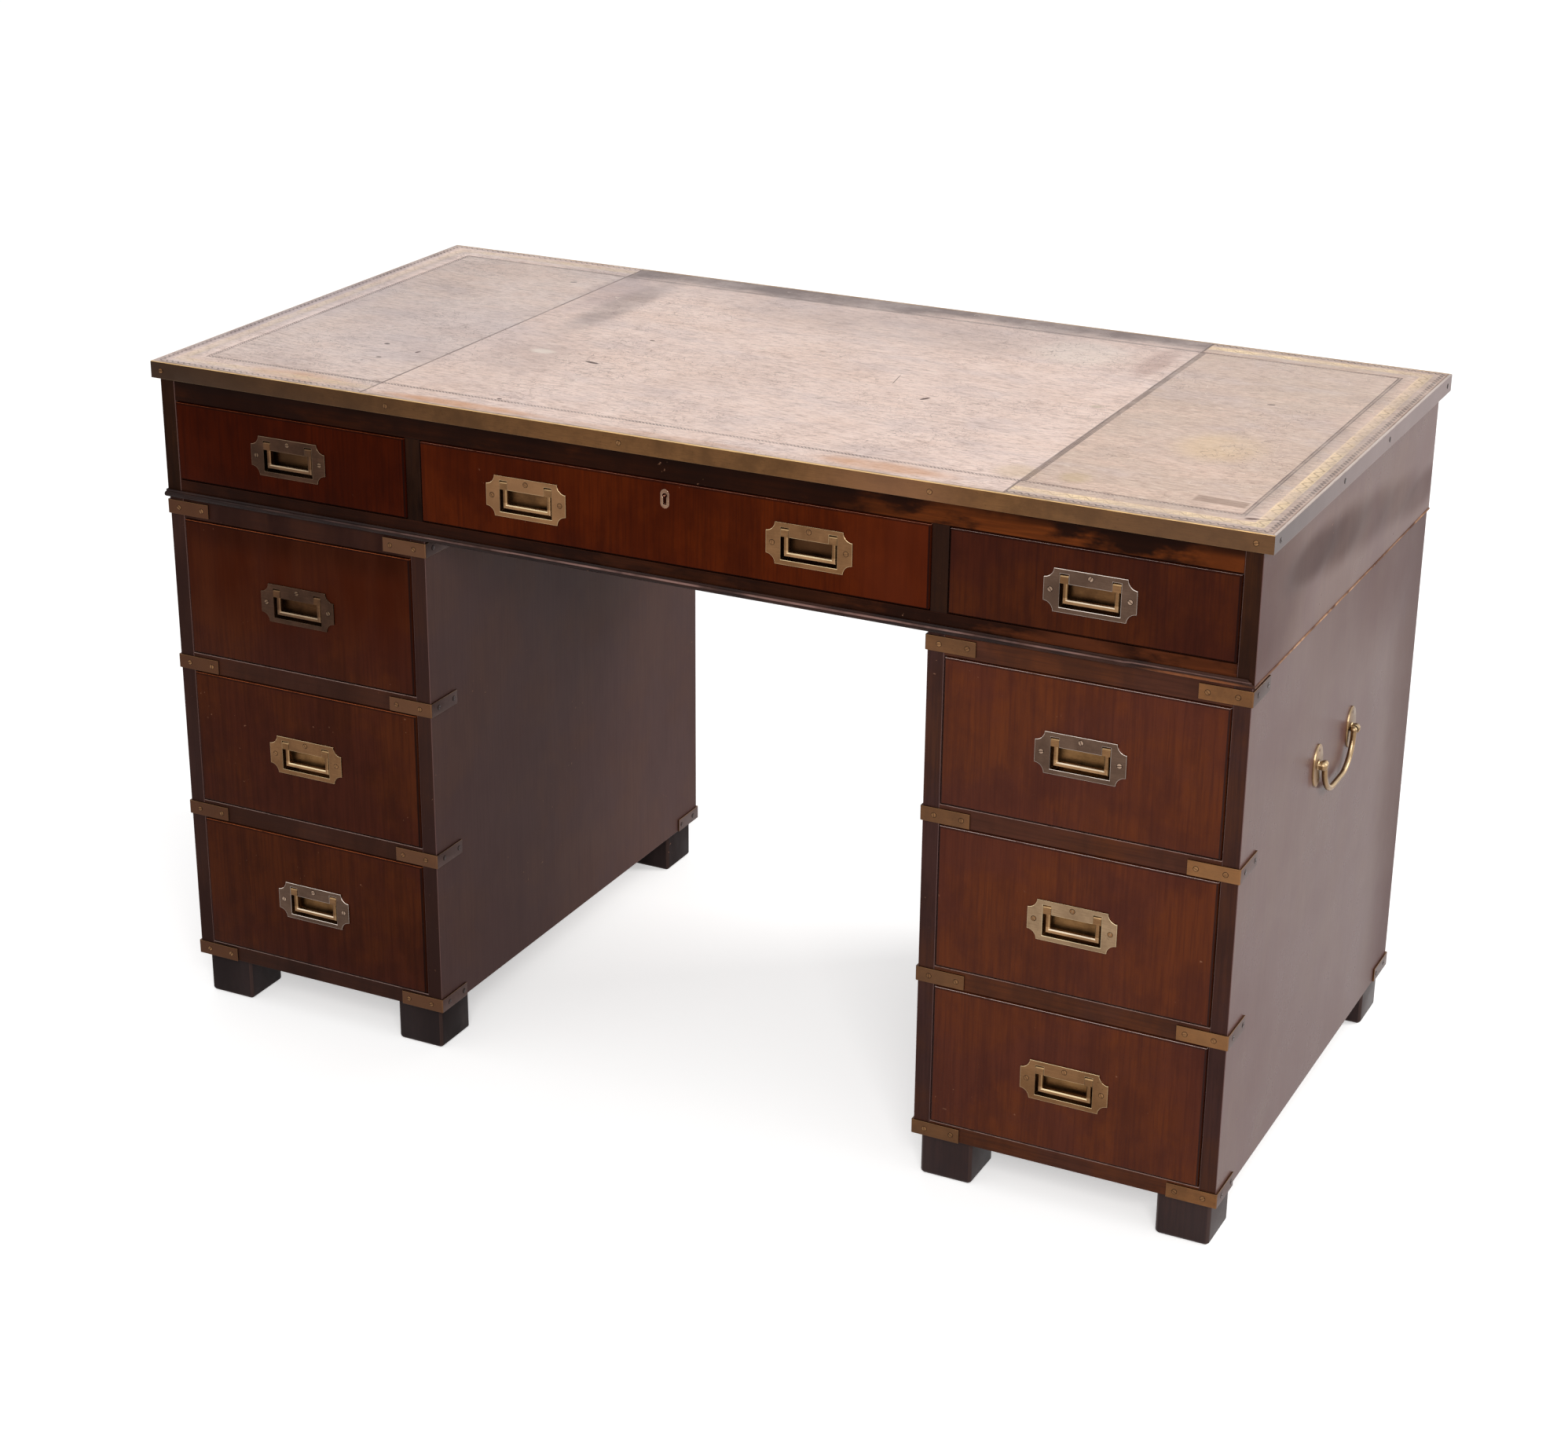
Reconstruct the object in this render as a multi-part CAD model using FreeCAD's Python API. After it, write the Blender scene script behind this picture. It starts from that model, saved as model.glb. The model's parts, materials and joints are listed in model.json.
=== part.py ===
# Twin-pedestal campaign desk, in millimetres.
# A shallow box of three drawers under a leather-lined top stands on two pedestals of three drawers each.
# X runs to the sitter's right, Y away from the sitter and Z up. The origin is on the floor under the middle.
# Each named sub-part is written to parts/NAME.step, and each piece in it is a solid of its own.
import FreeCAD, Part
import math
import os

Vector = FreeCAD.Vector

# ---- the whole desk ----
DESK_WIDTH = 1270.0
DESK_DEPTH = 622.0
DESK_HEIGHT = 765.0
FRONT_OVERHANG = 2.8  # of the top over the carcass
BACK_OVERHANG = 8.5
BOX_SIDE_OVERHANG = 10.0
PEDESTAL_SET_IN = 1.7  # of a pedestal's outer side from the box's end

# ---- top ----
BAND_THICK = 3.0
BAND_TALL = 19.0
BAND_ARRIS = 0.6
LEATHER_THICK = 1.5
LEATHER_JOINT_X = 365.0  # the two seams between the three skins

# ---- boards of the carcass ----
PANEL_THICK = 18.0
BACK_THICK = 9.0
RAIL_DEEP = 20.0  # front rails and stiles, front to back
TOP_RAIL_TALL = 23.0
BOX_BOTTOM_RAIL_TALL = 21.0
BOX_TALL = 134.0
DUST_BOARD_THICK = 9.0
CENTRE_OPENING_WIDE = 586.0
RUNNER_WIDE = 14.0
RUNNER_TALL = 14.0

# ---- base moulding of the box: a small fillet over a half-round bead ----
BEAD_RADIUS = 3.2
BEAD_STAND = 1.3  # straight part between the box and the bead
FILLET_TALL = 2.0
FILLET_STAND = 2.2

# ---- pedestals ----
PEDESTAL_WIDE = 332.0
FOOT_TALL = 51.0
FOOT_WIDE = 58.0
FOOT_DEEP = 60.0
FOOT_SET_IN = 6.0
FOOT_CORNER = 3.0
FOOT_TOE = 3.0
PEDESTAL_TOP_THICK = 12.0
PEDESTAL_BOTTOM_THICK = 12.0
PEDESTAL_DRAWER_TALL = 156.0
PEDESTAL_DRAWER_PITCH = 180.5
LOWEST_DRAWER_Z = 71.0
PEG_RADIUS = 5.0
PEG_LONG = 18.0
PEG_HOLE_RADIUS = 5.2
PEG_HOLE_DEEP = 7.0
PEG_SET_IN_X = 50.0
PEG_Y = 220.0

# ---- corner straps ----
STRAP_THICK = 2.0
STRAP_TALL = 16.0
STRAP_FRONT_LEG = 52.0
STRAP_SIDE_LEG = 50.0
STRAP_CORNER = 0.9
STRAP_ROWS_Z = (51.0, 230.0, 410.0, 593.0)  # lower edges

# ---- drawers ----
DRAWER_GAP = 1.5
DRAWER_PROUD = 2.5
FRONT_THICK = 20.0
FRONT_ARRIS = 1.6
SMALL_DRAWER_WIDE = 293.0
SIDE_THICK = 10.0
SIDE_DROP = 8.0  # from the top of the front to the top of the side
SIDE_LIFT = 0.3  # running gap over the runner
BOX_BACK_Y = 280.0
BOTTOM_THICK = 5.0
BOTTOM_RAISE = 8.0  # from the side's lower edge to the bottom board
GROOVE_DEEP = 4.0
FRONT_GROOVE_DEEP = 6.0
BACK_SET_IN = 12.0  # from the end of the sides to the back board
TAIL_LONG = 13.0
TAIL_PITCH_WANTED = 48.0
TAIL_ROOT_SHARE = 0.32  # half width of a dovetail as a share of its pitch, at its root and at its tip
TAIL_TIP_SHARE = 0.38

# ---- flush handle: u runs along the drawer, v out of it and w up, from the middle of the plate ----
PLATE_WIDE = 95.0
PLATE_TALL = 44.0
PLATE_THICK = 2.0
PLATE_SCOOP = 10.0  # radius of the four hollow corners
PAN_HALF_WIDE = 34.2
PAN_LOW = -19.9
PAN_HIGH = 19.0
PAN_DEEP = 11.0
WELL_HALF_WIDE = 31.2
WELL_LOW = -16.9
WELL_HIGH = 7.4
WELL_DEEP = 9.5
WELL_SLOPE = 2.2  # how far the floor is smaller than the mouth, on each side
PIN_W = 12.1
PIN_V = -2.0
PIN_RADIUS = 1.25
PIN_INNER_END = 19.5
PIN_OUTER_END = 33.7
NOTCH_INNER = 22.0
NOTCH_HIGH = 17.1
NOTCH_DEEP = 7.2
KNUCKLE_RADIUS = 4.6
KNUCKLE_GAP = 0.3
KNUCKLE_BORE = 1.36
BAIL_HALF_WIDE = 28.9
BAIL_ARM_WIDE = 5.0
BAIL_LOW = -13.5
BAIL_GRIP_TALL = 5.9
BAIL_BACK_V = -4.4
BAIL_FRONT_V = 0.2
BAIL_BEVEL = 1.3
CENTRE_HANDLE_X = 162.5

# ---- lock of the centre drawer ----
ESCUTCHEON_WIDE = 10.0
ESCUTCHEON_TALL = 20.0
ESCUTCHEON_THICK = 1.5
ESCUTCHEON_BELOW_TOP = 17.7
KEYHOLE_RADIUS = 2.6
KEYHOLE_EYE_UP = 3.4  # of the round part above the middle
KEYHOLE_SLOT_WIDE = 3.2
KEYHOLE_SLOT_DOWN = 6.5
LOCK_WIDE = 50.0
LOCK_TALL = 34.0
LOCK_DEEP = 12.0
BOLT_WIDE = 16.0
BOLT_THICK = 6.0
BOLT_TALL = 26.0
BOLT_TRAVEL = 7.0
BOLT_TOP_BELOW = 1.5  # under the top of the drawer front when it is drawn in
BOLT_GAP = 0.4
BOLT_BACK_WALL = 3.0
MORTISE_GAP = 1.0  # round the bolt in the rail above

# ---- drop carry handles on the outer sides ----
CARRY_Y = -5.0
CARRY_Z = 442.5
CARRY_PLATE_APART = 118.0
CARRY_PLATE_TALL = 47.0
CARRY_PLATE_WIDE = 31.0
CARRY_PLATE_THICK = 2.0
CARRY_PIN_OUT = 6.5  # from the pedestal's side to the pin
CARRY_BOSS_RADIUS = 4.5
CARRY_BOSS_LONG = 9.0
CARRY_NECK_TALL = 9.0
CARRY_PIN_HOLE = 1.90
CARRY_HOLE_BLIND = 1.0  # metal left at the outer end of the boss
CARRY_PIN_RADIUS = 1.75
CARRY_PIN_LONG = 10.5
CARRY_BAIL_RADIUS = 2.75
CARRY_BAIL_HALF = 51.2
CARRY_BAIL_DROP = 38.0
CARRY_BAIL_BEND = 36.0
CARRY_EYE_RADIUS = 3.4

# ---- how finely the small round bars and holes are drawn ----
BAR_FLATS = 12
PIN_FLATS = 8
CARRY_BEND_STEPS = 4
MITRED = 1  # corner style of a swept bar
CUT_OVER = 1.0  # how far a cutting shape runs past what it cuts
NEAR = 1e-3  # how close a point must be to count as lying on a line or plane

# ---- levels and planes worked out from the above ----
FRONT_Y = -DESK_DEPTH / 2 + FRONT_OVERHANG
BACK_Y = DESK_DEPTH / 2 - BACK_OVERHANG
TOP_UNDER_Z = DESK_HEIGHT - BAND_TALL
BOX_UNDER_Z = TOP_UNDER_Z - BOX_TALL
BOX_HALF = DESK_WIDTH / 2 - BOX_SIDE_OVERHANG
PEDESTAL_OUT = BOX_HALF - PEDESTAL_SET_IN
PEDESTAL_IN = PEDESTAL_OUT - PEDESTAL_WIDE
BEHIND_FRAME_Y = FRONT_Y + RAIL_DEEP
INSIDE_BACK_Y = BACK_Y - BACK_THICK
BOX_OPENING_LOW = BOX_UNDER_Z + BOX_BOTTOM_RAIL_TALL
BOX_OPENING_HIGH = TOP_UNDER_Z - TOP_RAIL_TALL
FACE_Y = FRONT_Y - DRAWER_PROUD
FACE_BACK_Y = FACE_Y + FRONT_THICK
PEDESTAL_MID_X = (PEDESTAL_IN + PEDESTAL_OUT) / 2
BOX_INSIDE = BOX_HALF - PANEL_THICK
PARTITION_OUT = CENTRE_OPENING_WIDE / 2 + PANEL_THICK
SMALL_DRAWER_X = (PARTITION_OUT + BOX_INSIDE) / 2


def block(x_span, y_span, z_span):
    """A straight board between two corners."""
    size = [high - low for low, high in (x_span, y_span, z_span)]
    corner = Vector(x_span[0], y_span[0], z_span[0])
    return Part.makeBox(size[0], size[1], size[2], corner)


def both_ways(half):
    """The span that reaches the same distance to each side of zero."""
    return (-half, half)


def board_from(points, sweep):
    """A board with the outline that the points give in order, swept along a vector."""
    outline = Part.makePolygon(points + [points[0]])
    return Part.Face(outline).extrude(sweep)


def rod(start, end, radius):
    """A true cylinder between two points."""
    run = end - start
    return Part.makeCylinder(radius, run.Length, start, run)


def ring_of(centre, along, radius, flats=BAR_FLATS):
    """A closed regular outline round a centre, square to a direction."""
    across = Vector(0, 1, 0) if abs(along.y) < along.Length / 2 else Vector(1, 0, 0)
    arm = along.cross(across).normalize() * radius
    corners = [FreeCAD.Rotation(along, 360 * (index + 0.5) / flats).multVec(arm) for index in range(flats)]
    return Part.makePolygon([centre + corner for corner in corners + corners[:1]])


def bar(start, end, radius, flats=BAR_FLATS):
    """A small round bar or hole between two points, drawn with flats to keep it light."""
    run = end - start
    return Part.Face(ring_of(start, run, radius, flats)).extrude(run)


def cut_from(piece, *tools):
    """What is left of one solid when others are taken out of it."""
    return piece.cut(list(tools)).removeSplitter().Solids[0]


def join(piece, *others):
    """Several shapes made into one solid."""
    return piece.fuse(list(others)).removeSplitter().Solids[0]


def edges_at(piece, axis, value):
    """The edges that lie all along one plane across an axis."""
    on_plane = []
    for edge in piece.Edges:
        low = getattr(edge.BoundBox, axis + "Min")
        high = getattr(edge.BoundBox, axis + "Max")
        if abs(low - value) < NEAR and abs(high - value) < NEAR:
            on_plane.append(edge)
    return on_plane


def mirrored(piece):
    """The same piece on the other side of the desk."""
    return piece.mirror(Vector(0, 0, 0), Vector(1, 0, 0))


def write(name, solids):
    """One file for one sub-part, with each of its pieces a solid of its own."""
    Part.makeCompound(solids).exportStep(f"parts/{name}.step")


def brass_band():
    """Four brass strips round the top, mitred at the corners, with the outer top arris eased."""
    corners = [Vector(x * DESK_WIDTH / 2, y * DESK_DEPTH / 2, TOP_UNDER_Z)
               for x, y in ((-1, -1), (1, -1), (1, 1), (-1, 1))]
    strips = []
    lift = Vector(0, 0, BAND_TALL)
    for index, outer_a in enumerate(corners):
        outer_b = corners[(index + 1) % 4]
        inner_a, inner_b = [p - Vector(math.copysign(BAND_THICK, p.x), math.copysign(BAND_THICK, p.y), 0)
                            for p in (outer_a, outer_b)]
        strip = board_from([outer_a, outer_b, inner_b, inner_a], lift)
        outer_middle = (outer_a + outer_b) * 0.5 + lift
        arris = [edge for edge in strip.Edges if edge.CenterOfMass.distanceToPoint(outer_middle) < NEAR]
        strips.append(strip.makeChamfer(BAND_ARRIS, arris).Solids[0])
    return strips


def build_top():
    """The board of the top, the three leather skins on it and the brass band round them."""
    half_x = DESK_WIDTH / 2 - BAND_THICK
    half_y = DESK_DEPTH / 2 - BAND_THICK
    leather_z = (DESK_HEIGHT - LEATHER_THICK, DESK_HEIGHT)
    write("top_board", [block(both_ways(half_x), both_ways(half_y), (TOP_UNDER_Z, leather_z[0]))])
    seams = (-half_x, -LEATHER_JOINT_X, LEATHER_JOINT_X, half_x)
    write("leather_skins", [block(span, both_ways(half_y), leather_z) for span in zip(seams, seams[1:])])
    write("brass_edge_band", brass_band())


def moulding_section():
    """Section of the box's base moulding as points out from the box and up, with its half-round as an arc."""
    back_low = Vector(0, 0, BOX_UNDER_Z)
    bead_low = Vector(BEAD_STAND, 0, BOX_UNDER_Z)
    bead_nose = Vector(BEAD_STAND + BEAD_RADIUS, 0, BOX_UNDER_Z + BEAD_RADIUS)
    bead_top = Vector(BEAD_STAND, 0, BOX_UNDER_Z + 2 * BEAD_RADIUS)
    fillet_foot = Vector(FILLET_STAND, 0, bead_top.z)
    fillet_top = Vector(FILLET_STAND, 0, bead_top.z + FILLET_TALL)
    back_top = Vector(0, 0, fillet_top.z)
    bead = Part.Arc(bead_low, bead_nose, bead_top).toShape()
    rest = Part.makePolygon([bead_top, fillet_foot, fillet_top, back_top, back_low, bead_low])
    return Part.Face(Part.Wire([bead] + rest.Edges))


def base_moulding():
    """The bead round the bottom of the box: the front and both ends, mitred at the front corners."""
    reach = BEAD_STAND + BEAD_RADIUS
    face = moulding_section()
    end_face = face.translated(Vector(BOX_HALF, BACK_Y, 0))
    end_strip = end_face.extrude(Vector(0, FRONT_Y - reach - BACK_Y, 0))
    front_face = face.rotated(Vector(0, 0, 0), Vector(0, 0, 1), -90)
    front_face = front_face.translated(Vector(-BOX_HALF - reach, FRONT_Y, 0))
    front_strip = front_face.extrude(Vector(2 * (BOX_HALF + reach), 0, 0))
    wedge_low = Vector(BOX_HALF, FRONT_Y, BOX_UNDER_Z)
    over = 2 * reach
    front_side = board_from([wedge_low, wedge_low + Vector(over, -over, 0), wedge_low + Vector(0, -over, 0)],
                            Vector(0, 0, BOX_TALL))
    end_side = board_from([wedge_low, wedge_low + Vector(over, 0, 0), wedge_low + Vector(over, -over, 0)],
                          Vector(0, 0, BOX_TALL))
    right_strip = cut_from(end_strip, front_side)
    front_strip = cut_from(front_strip, end_side, mirrored(end_side))
    return [front_strip, right_strip, mirrored(right_strip)]


def lock_depths():
    """Front and back planes of the bolt's channel in the back of the centre drawer's front."""
    back = FACE_BACK_Y - BOLT_BACK_WALL
    return (back - BOLT_THICK, back)


def build_box():
    """The shallow box: ends, back, front rails and stiles, partitions, dust board, runners and moulding."""
    full_y = (FRONT_Y, BACK_Y)
    inside_y = (BEHIND_FRAME_Y, INSIDE_BACK_Y)
    whole_z = (BOX_UNDER_Z, TOP_UNDER_Z)
    dust_top = BOX_UNDER_Z + DUST_BOARD_THICK
    right_end = block((BOX_INSIDE, BOX_HALF), full_y, whole_z)
    back = block(both_ways(BOX_INSIDE), (INSIDE_BACK_Y, BACK_Y), whole_z)
    write("top_box_ends_and_back", [right_end, mirrored(right_end), back])

    frame_y = (FRONT_Y, BEHIND_FRAME_Y)
    top_rail = block(both_ways(BOX_INSIDE), frame_y, (BOX_OPENING_HIGH, TOP_UNDER_Z))
    bolt_y = lock_depths()
    mortise_y = (bolt_y[0] - MORTISE_GAP, bolt_y[1] + MORTISE_GAP)
    mortise_z = (BOX_OPENING_HIGH, BOX_OPENING_HIGH + BOLT_TRAVEL)
    mortise = block(both_ways(BOLT_WIDE / 2 + MORTISE_GAP), mortise_y, mortise_z)
    bottom_rail = block(both_ways(BOX_INSIDE), frame_y, (BOX_UNDER_Z, BOX_OPENING_LOW))
    stile_x = (CENTRE_OPENING_WIDE / 2, PARTITION_OUT)
    stile = block(stile_x, frame_y, (BOX_OPENING_LOW, BOX_OPENING_HIGH))
    write("top_box_front_frame", [cut_from(top_rail, mortise), bottom_rail, stile, mirrored(stile)])

    partition = block(stile_x, inside_y, (dust_top, TOP_UNDER_Z))
    runner_z = (dust_top, BOX_OPENING_LOW)
    inner_edges = (BOX_INSIDE - RUNNER_WIDE, PARTITION_OUT, stile_x[0] - RUNNER_WIDE)
    runners = [block((x, x + RUNNER_WIDE), inside_y, runner_z) for x in inner_edges]
    right_half = [partition] + runners
    write("top_box_partitions_and_runners", right_half + [mirrored(piece) for piece in right_half])

    dust_board = block(both_ways(BOX_INSIDE), inside_y, (BOX_UNDER_Z, dust_top))
    holes = [bar(at, at + Vector(0, 0, PEG_HOLE_DEEP), PEG_HOLE_RADIUS) for at in peg_places()]
    write("top_box_dust_board", [cut_from(dust_board, *holes)])
    write("top_box_base_moulding", base_moulding())


def peg_places():
    """Where the four pegs stand in the pedestals' tops."""
    x = PEDESTAL_IN + PEG_SET_IN_X
    return [Vector(side * x, y, BOX_UNDER_Z) for side in (-1, 1) for y in (-PEG_Y, PEG_Y)]


def pedestal_opening_lows():
    """Lower edges of the three drawer openings in a pedestal, from the bottom up."""
    return [LOWEST_DRAWER_Z + row * PEDESTAL_DRAWER_PITCH - DRAWER_GAP for row in range(3)]


def pedestal_panels(right):
    """Sides, back, bottom and top of one pedestal, with the peg holes in its top."""
    inner = PEDESTAL_IN + PANEL_THICK
    outer = PEDESTAL_OUT - PANEL_THICK
    full_z = (FOOT_TALL, BOX_UNDER_Z)
    inside_y = (BEHIND_FRAME_Y, INSIDE_BACK_Y)
    inner_side = block((PEDESTAL_IN, inner), (FRONT_Y, BACK_Y), full_z)
    outer_side = block((outer, PEDESTAL_OUT), (FRONT_Y, BACK_Y), full_z)
    back = block((inner, outer), (INSIDE_BACK_Y, BACK_Y), full_z)
    bottom = block((inner, outer), inside_y, (FOOT_TALL, FOOT_TALL + PEDESTAL_BOTTOM_THICK))
    top = block((inner, outer), inside_y, (BOX_UNDER_Z - PEDESTAL_TOP_THICK, BOX_UNDER_Z))
    holes = [bar(at - Vector(0, 0, PEDESTAL_TOP_THICK), at, PEG_RADIUS) for at in peg_places() if at.x > 0]
    pieces = [inner_side, outer_side, back, bottom, cut_from(top, *holes)]
    return pieces if right else [mirrored(piece) for piece in pieces]


def pedestal_frame(right):
    """The four front rails between the sides of one pedestal."""
    span = (PEDESTAL_IN + PANEL_THICK, PEDESTAL_OUT - PANEL_THICK)
    opening_tall = PEDESTAL_DRAWER_TALL + 2 * DRAWER_GAP
    lows = pedestal_opening_lows()
    rail_lows = [FOOT_TALL] + [low + opening_tall for low in lows]
    rail_highs = lows + [BOX_UNDER_Z]
    rails = [block(span, (FRONT_Y, BEHIND_FRAME_Y), z_span) for z_span in zip(rail_lows, rail_highs)]
    return rails if right else [mirrored(rail) for rail in rails]


def pedestal_runners(right):
    """A pair of runners under each drawer of one pedestal. The lowest pair lies on the bottom board."""
    inner = PEDESTAL_IN + PANEL_THICK
    outer = PEDESTAL_OUT - PANEL_THICK - RUNNER_WIDE
    bottom_top = FOOT_TALL + PEDESTAL_BOTTOM_THICK
    runners = []
    for low in pedestal_opening_lows():
        z_span = (max(low - RUNNER_TALL, bottom_top), low)
        for x in (inner, outer):
            runners.append(block((x, x + RUNNER_WIDE), (BEHIND_FRAME_Y, INSIDE_BACK_Y), z_span))
    return runners if right else [mirrored(runner) for runner in runners]


def block_foot():
    """A block foot standing on the origin, its upright corners and its toe eased."""
    foot = block(both_ways(FOOT_WIDE / 2), both_ways(FOOT_DEEP / 2), (0, FOOT_TALL))
    upright = [edge for edge in foot.Edges if edge.BoundBox.ZLength > FOOT_TALL / 2]
    foot = foot.makeChamfer(FOOT_CORNER, upright)
    return foot.makeChamfer(FOOT_TOE, edges_at(foot, "Z", 0.0)).Solids[0]


def feet():
    """Eight block feet, one under each corner of each pedestal."""
    near_y = FRONT_Y + FOOT_SET_IN + FOOT_DEEP / 2
    far_y = BACK_Y - FOOT_SET_IN - FOOT_DEEP / 2
    inner_x = PEDESTAL_IN + FOOT_SET_IN + FOOT_WIDE / 2
    outer_x = PEDESTAL_OUT - FOOT_SET_IN - FOOT_WIDE / 2
    foot = block_foot()
    return [foot.translated(Vector(side * x, y, 0))
            for side in (-1, 1) for x in (inner_x, outer_x) for y in (near_y, far_y)]


def strap(out_x, out_y):
    """A brass corner strap on the corner at the origin: one leg along X, one along Y, the bend eased.
    The corner of the carcass points along (out_x, out_y), and the legs lie on its two faces."""
    thick = STRAP_THICK
    outline = [Vector(-STRAP_FRONT_LEG, 0, 0), Vector(0, 0, 0), Vector(0, -STRAP_SIDE_LEG, 0),
               Vector(thick, -STRAP_SIDE_LEG, 0), Vector(thick, thick, 0), Vector(-STRAP_FRONT_LEG, thick, 0)]
    bend = board_from(outline, Vector(0, 0, STRAP_TALL))
    middle = Vector(thick, thick, STRAP_TALL / 2)
    corner = [edge for edge in bend.Edges if edge.CenterOfMass.distanceToPoint(middle) < NEAR]
    bend = bend.makeChamfer(STRAP_CORNER, corner).Solids[0]
    if out_x < 0:
        bend = bend.mirror(Vector(0, 0, 0), Vector(1, 0, 0))
    if out_y < 0:
        bend = bend.mirror(Vector(0, 0, 0), Vector(0, 1, 0))
    return bend


def corner_straps():
    """Straps in four rows on the front corners of the pedestals, and one on each bottom corner behind."""
    straps = []
    for side in (-1, 1):
        for x, out_x in ((PEDESTAL_IN, -side), (PEDESTAL_OUT, side)):
            straps += [strap(out_x, -1).translated(Vector(side * x, FRONT_Y, z)) for z in STRAP_ROWS_Z]
            straps.append(strap(out_x, 1).translated(Vector(side * x, BACK_Y, STRAP_ROWS_Z[0])))
    return straps


def build_pedestals():
    """Both pedestals with their feet, straps and the pegs that place the box on them."""
    for side in ("left", "right"):
        write(f"{side}_pedestal_panels", pedestal_panels(side == "right"))
        write(f"{side}_pedestal_front_frame", pedestal_frame(side == "right"))
        write(f"{side}_pedestal_runners", pedestal_runners(side == "right"))
    write("block_feet", feet())
    write("corner_straps", corner_straps())
    peg_foot = Vector(0, 0, -PEDESTAL_TOP_THICK)
    pegs = [bar(at + peg_foot, at + peg_foot + Vector(0, 0, PEG_LONG), PEG_RADIUS) for at in peg_places()]
    write("locating_pegs", pegs)


def scooped_plate():
    """The face plate of a flush handle, standing on the drawer's face, with four hollow corners."""
    half_u = PLATE_WIDE / 2
    half_w = PLATE_TALL / 2
    blank = block(both_ways(half_u), (-PLATE_THICK, 0), both_ways(half_w))
    scoops = [rod(Vector(u, CUT_OVER, w), Vector(u, -PLATE_THICK - CUT_OVER, w), PLATE_SCOOP)
              for u in (-half_u, half_u) for w in (-half_w, half_w)]
    return cut_from(blank, *scoops)


def handle_well():
    """The hollow in the pan, wider at its mouth than at its floor."""
    def level(depth, inset):
        u = WELL_HALF_WIDE - inset
        low = WELL_LOW + inset
        high = WELL_HIGH - inset
        corners = ((-u, low), (u, low), (u, high), (-u, high))
        return [Vector(across, depth, up) for across, up in corners]
    mouth = level(0, 0)
    floor = level(WELL_DEEP, WELL_SLOPE)
    faces = [Part.Face(Part.makePolygon(ring + [ring[0]])) for ring in (mouth, floor)]
    for index in range(4):
        after = (index + 1) % 4
        wall = [mouth[index], mouth[after], floor[after], floor[index], mouth[index]]
        faces.append(Part.Face(Part.makePolygon(wall)))
    taper = Part.makeSolid(Part.makeShell(faces))
    if taper.Volume < 0:
        taper.reverse()
    throat = block(both_ways(WELL_HALF_WIDE), (-PLATE_THICK - CUT_OVER, 0), (WELL_LOW, WELL_HIGH))
    return join(taper, throat)


def handle_pins():
    """The two pins that the bail turns on, held at both ends in the pan."""
    ends = [[Vector(side * u, -PIN_V, PIN_W) for u in (PIN_INNER_END, PIN_OUTER_END)] for side in (-1, 1)]
    return [bar(inner, outer, PIN_RADIUS, PIN_FLATS) for inner, outer in ends]


def handle_pan():
    """The block of the pan behind the plate, as it stands in the drawer's front."""
    return block(both_ways(PAN_HALF_WIDE), (0, PAN_DEEP), (PAN_LOW, PAN_HIGH))


def handle_plate():
    """Plate and pan in one casting, with the well, a notch for each knuckle, and the pins."""
    notch_y = (-PLATE_THICK - CUT_OVER, NOTCH_DEEP)
    notch = block((NOTCH_INNER, WELL_HALF_WIDE), notch_y, (WELL_HIGH - CUT_OVER, NOTCH_HIGH))
    casting = join(scooped_plate(), handle_pan())
    pins = handle_pins()
    casting = cut_from(casting, handle_well(), notch, mirrored(notch), *pins)
    return [casting] + pins


def knuckle():
    """The right knuckle of a bail: a barrel about the pin, squared off flush with the plate in front."""
    ends = (NOTCH_INNER + KNUCKLE_GAP, WELL_HALF_WIDE - KNUCKLE_GAP)
    start, end = [Vector(u, -PIN_V, PIN_W) for u in ends]
    flush_v = PLATE_THICK - PIN_V
    round_meets_flat = PIN_W + math.sqrt(KNUCKLE_RADIUS ** 2 - flush_v ** 2)
    barrel = bar(start, end, KNUCKLE_RADIUS)
    face = block(ends, (-PLATE_THICK, -PIN_V), (PIN_W - KNUCKLE_RADIUS, round_meets_flat))
    proud = block(ends, (-PLATE_THICK - KNUCKLE_RADIUS, -PLATE_THICK), (WELL_LOW, PLATE_TALL / 2))
    return cut_from(join(barrel, face), proud)


def handle_bail():
    """The bail as it lies in the well: a flat U with bevelled front edges and a bored knuckle on each arm."""
    y_span = (-BAIL_FRONT_V, -BAIL_BACK_V)
    arm_inner = BAIL_HALF_WIDE - BAIL_ARM_WIDE
    flat = block(both_ways(BAIL_HALF_WIDE), y_span, (BAIL_LOW, PIN_W))
    window_y = (y_span[0] - CUT_OVER, y_span[1] + CUT_OVER)
    window = block(both_ways(arm_inner), window_y, (BAIL_LOW + BAIL_GRIP_TALL, PIN_W + CUT_OVER))
    bail = cut_from(flat, window)
    front_edges = [edge for edge in edges_at(bail, "Y", y_span[0]) if edge.CenterOfMass.z < PIN_W - NEAR]
    bail = bail.makeChamfer(BAIL_BEVEL, front_edges).Solids[0]
    bore_from, bore_to = [Vector(u, -PIN_V, PIN_W) for u in (NOTCH_INNER, WELL_HALF_WIDE)]
    bore = bar(bore_from, bore_to, KNUCKLE_BORE, PIN_FLATS)
    return cut_from(join(bail, knuckle(), mirrored(knuckle())), bore, mirrored(bore))


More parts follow.
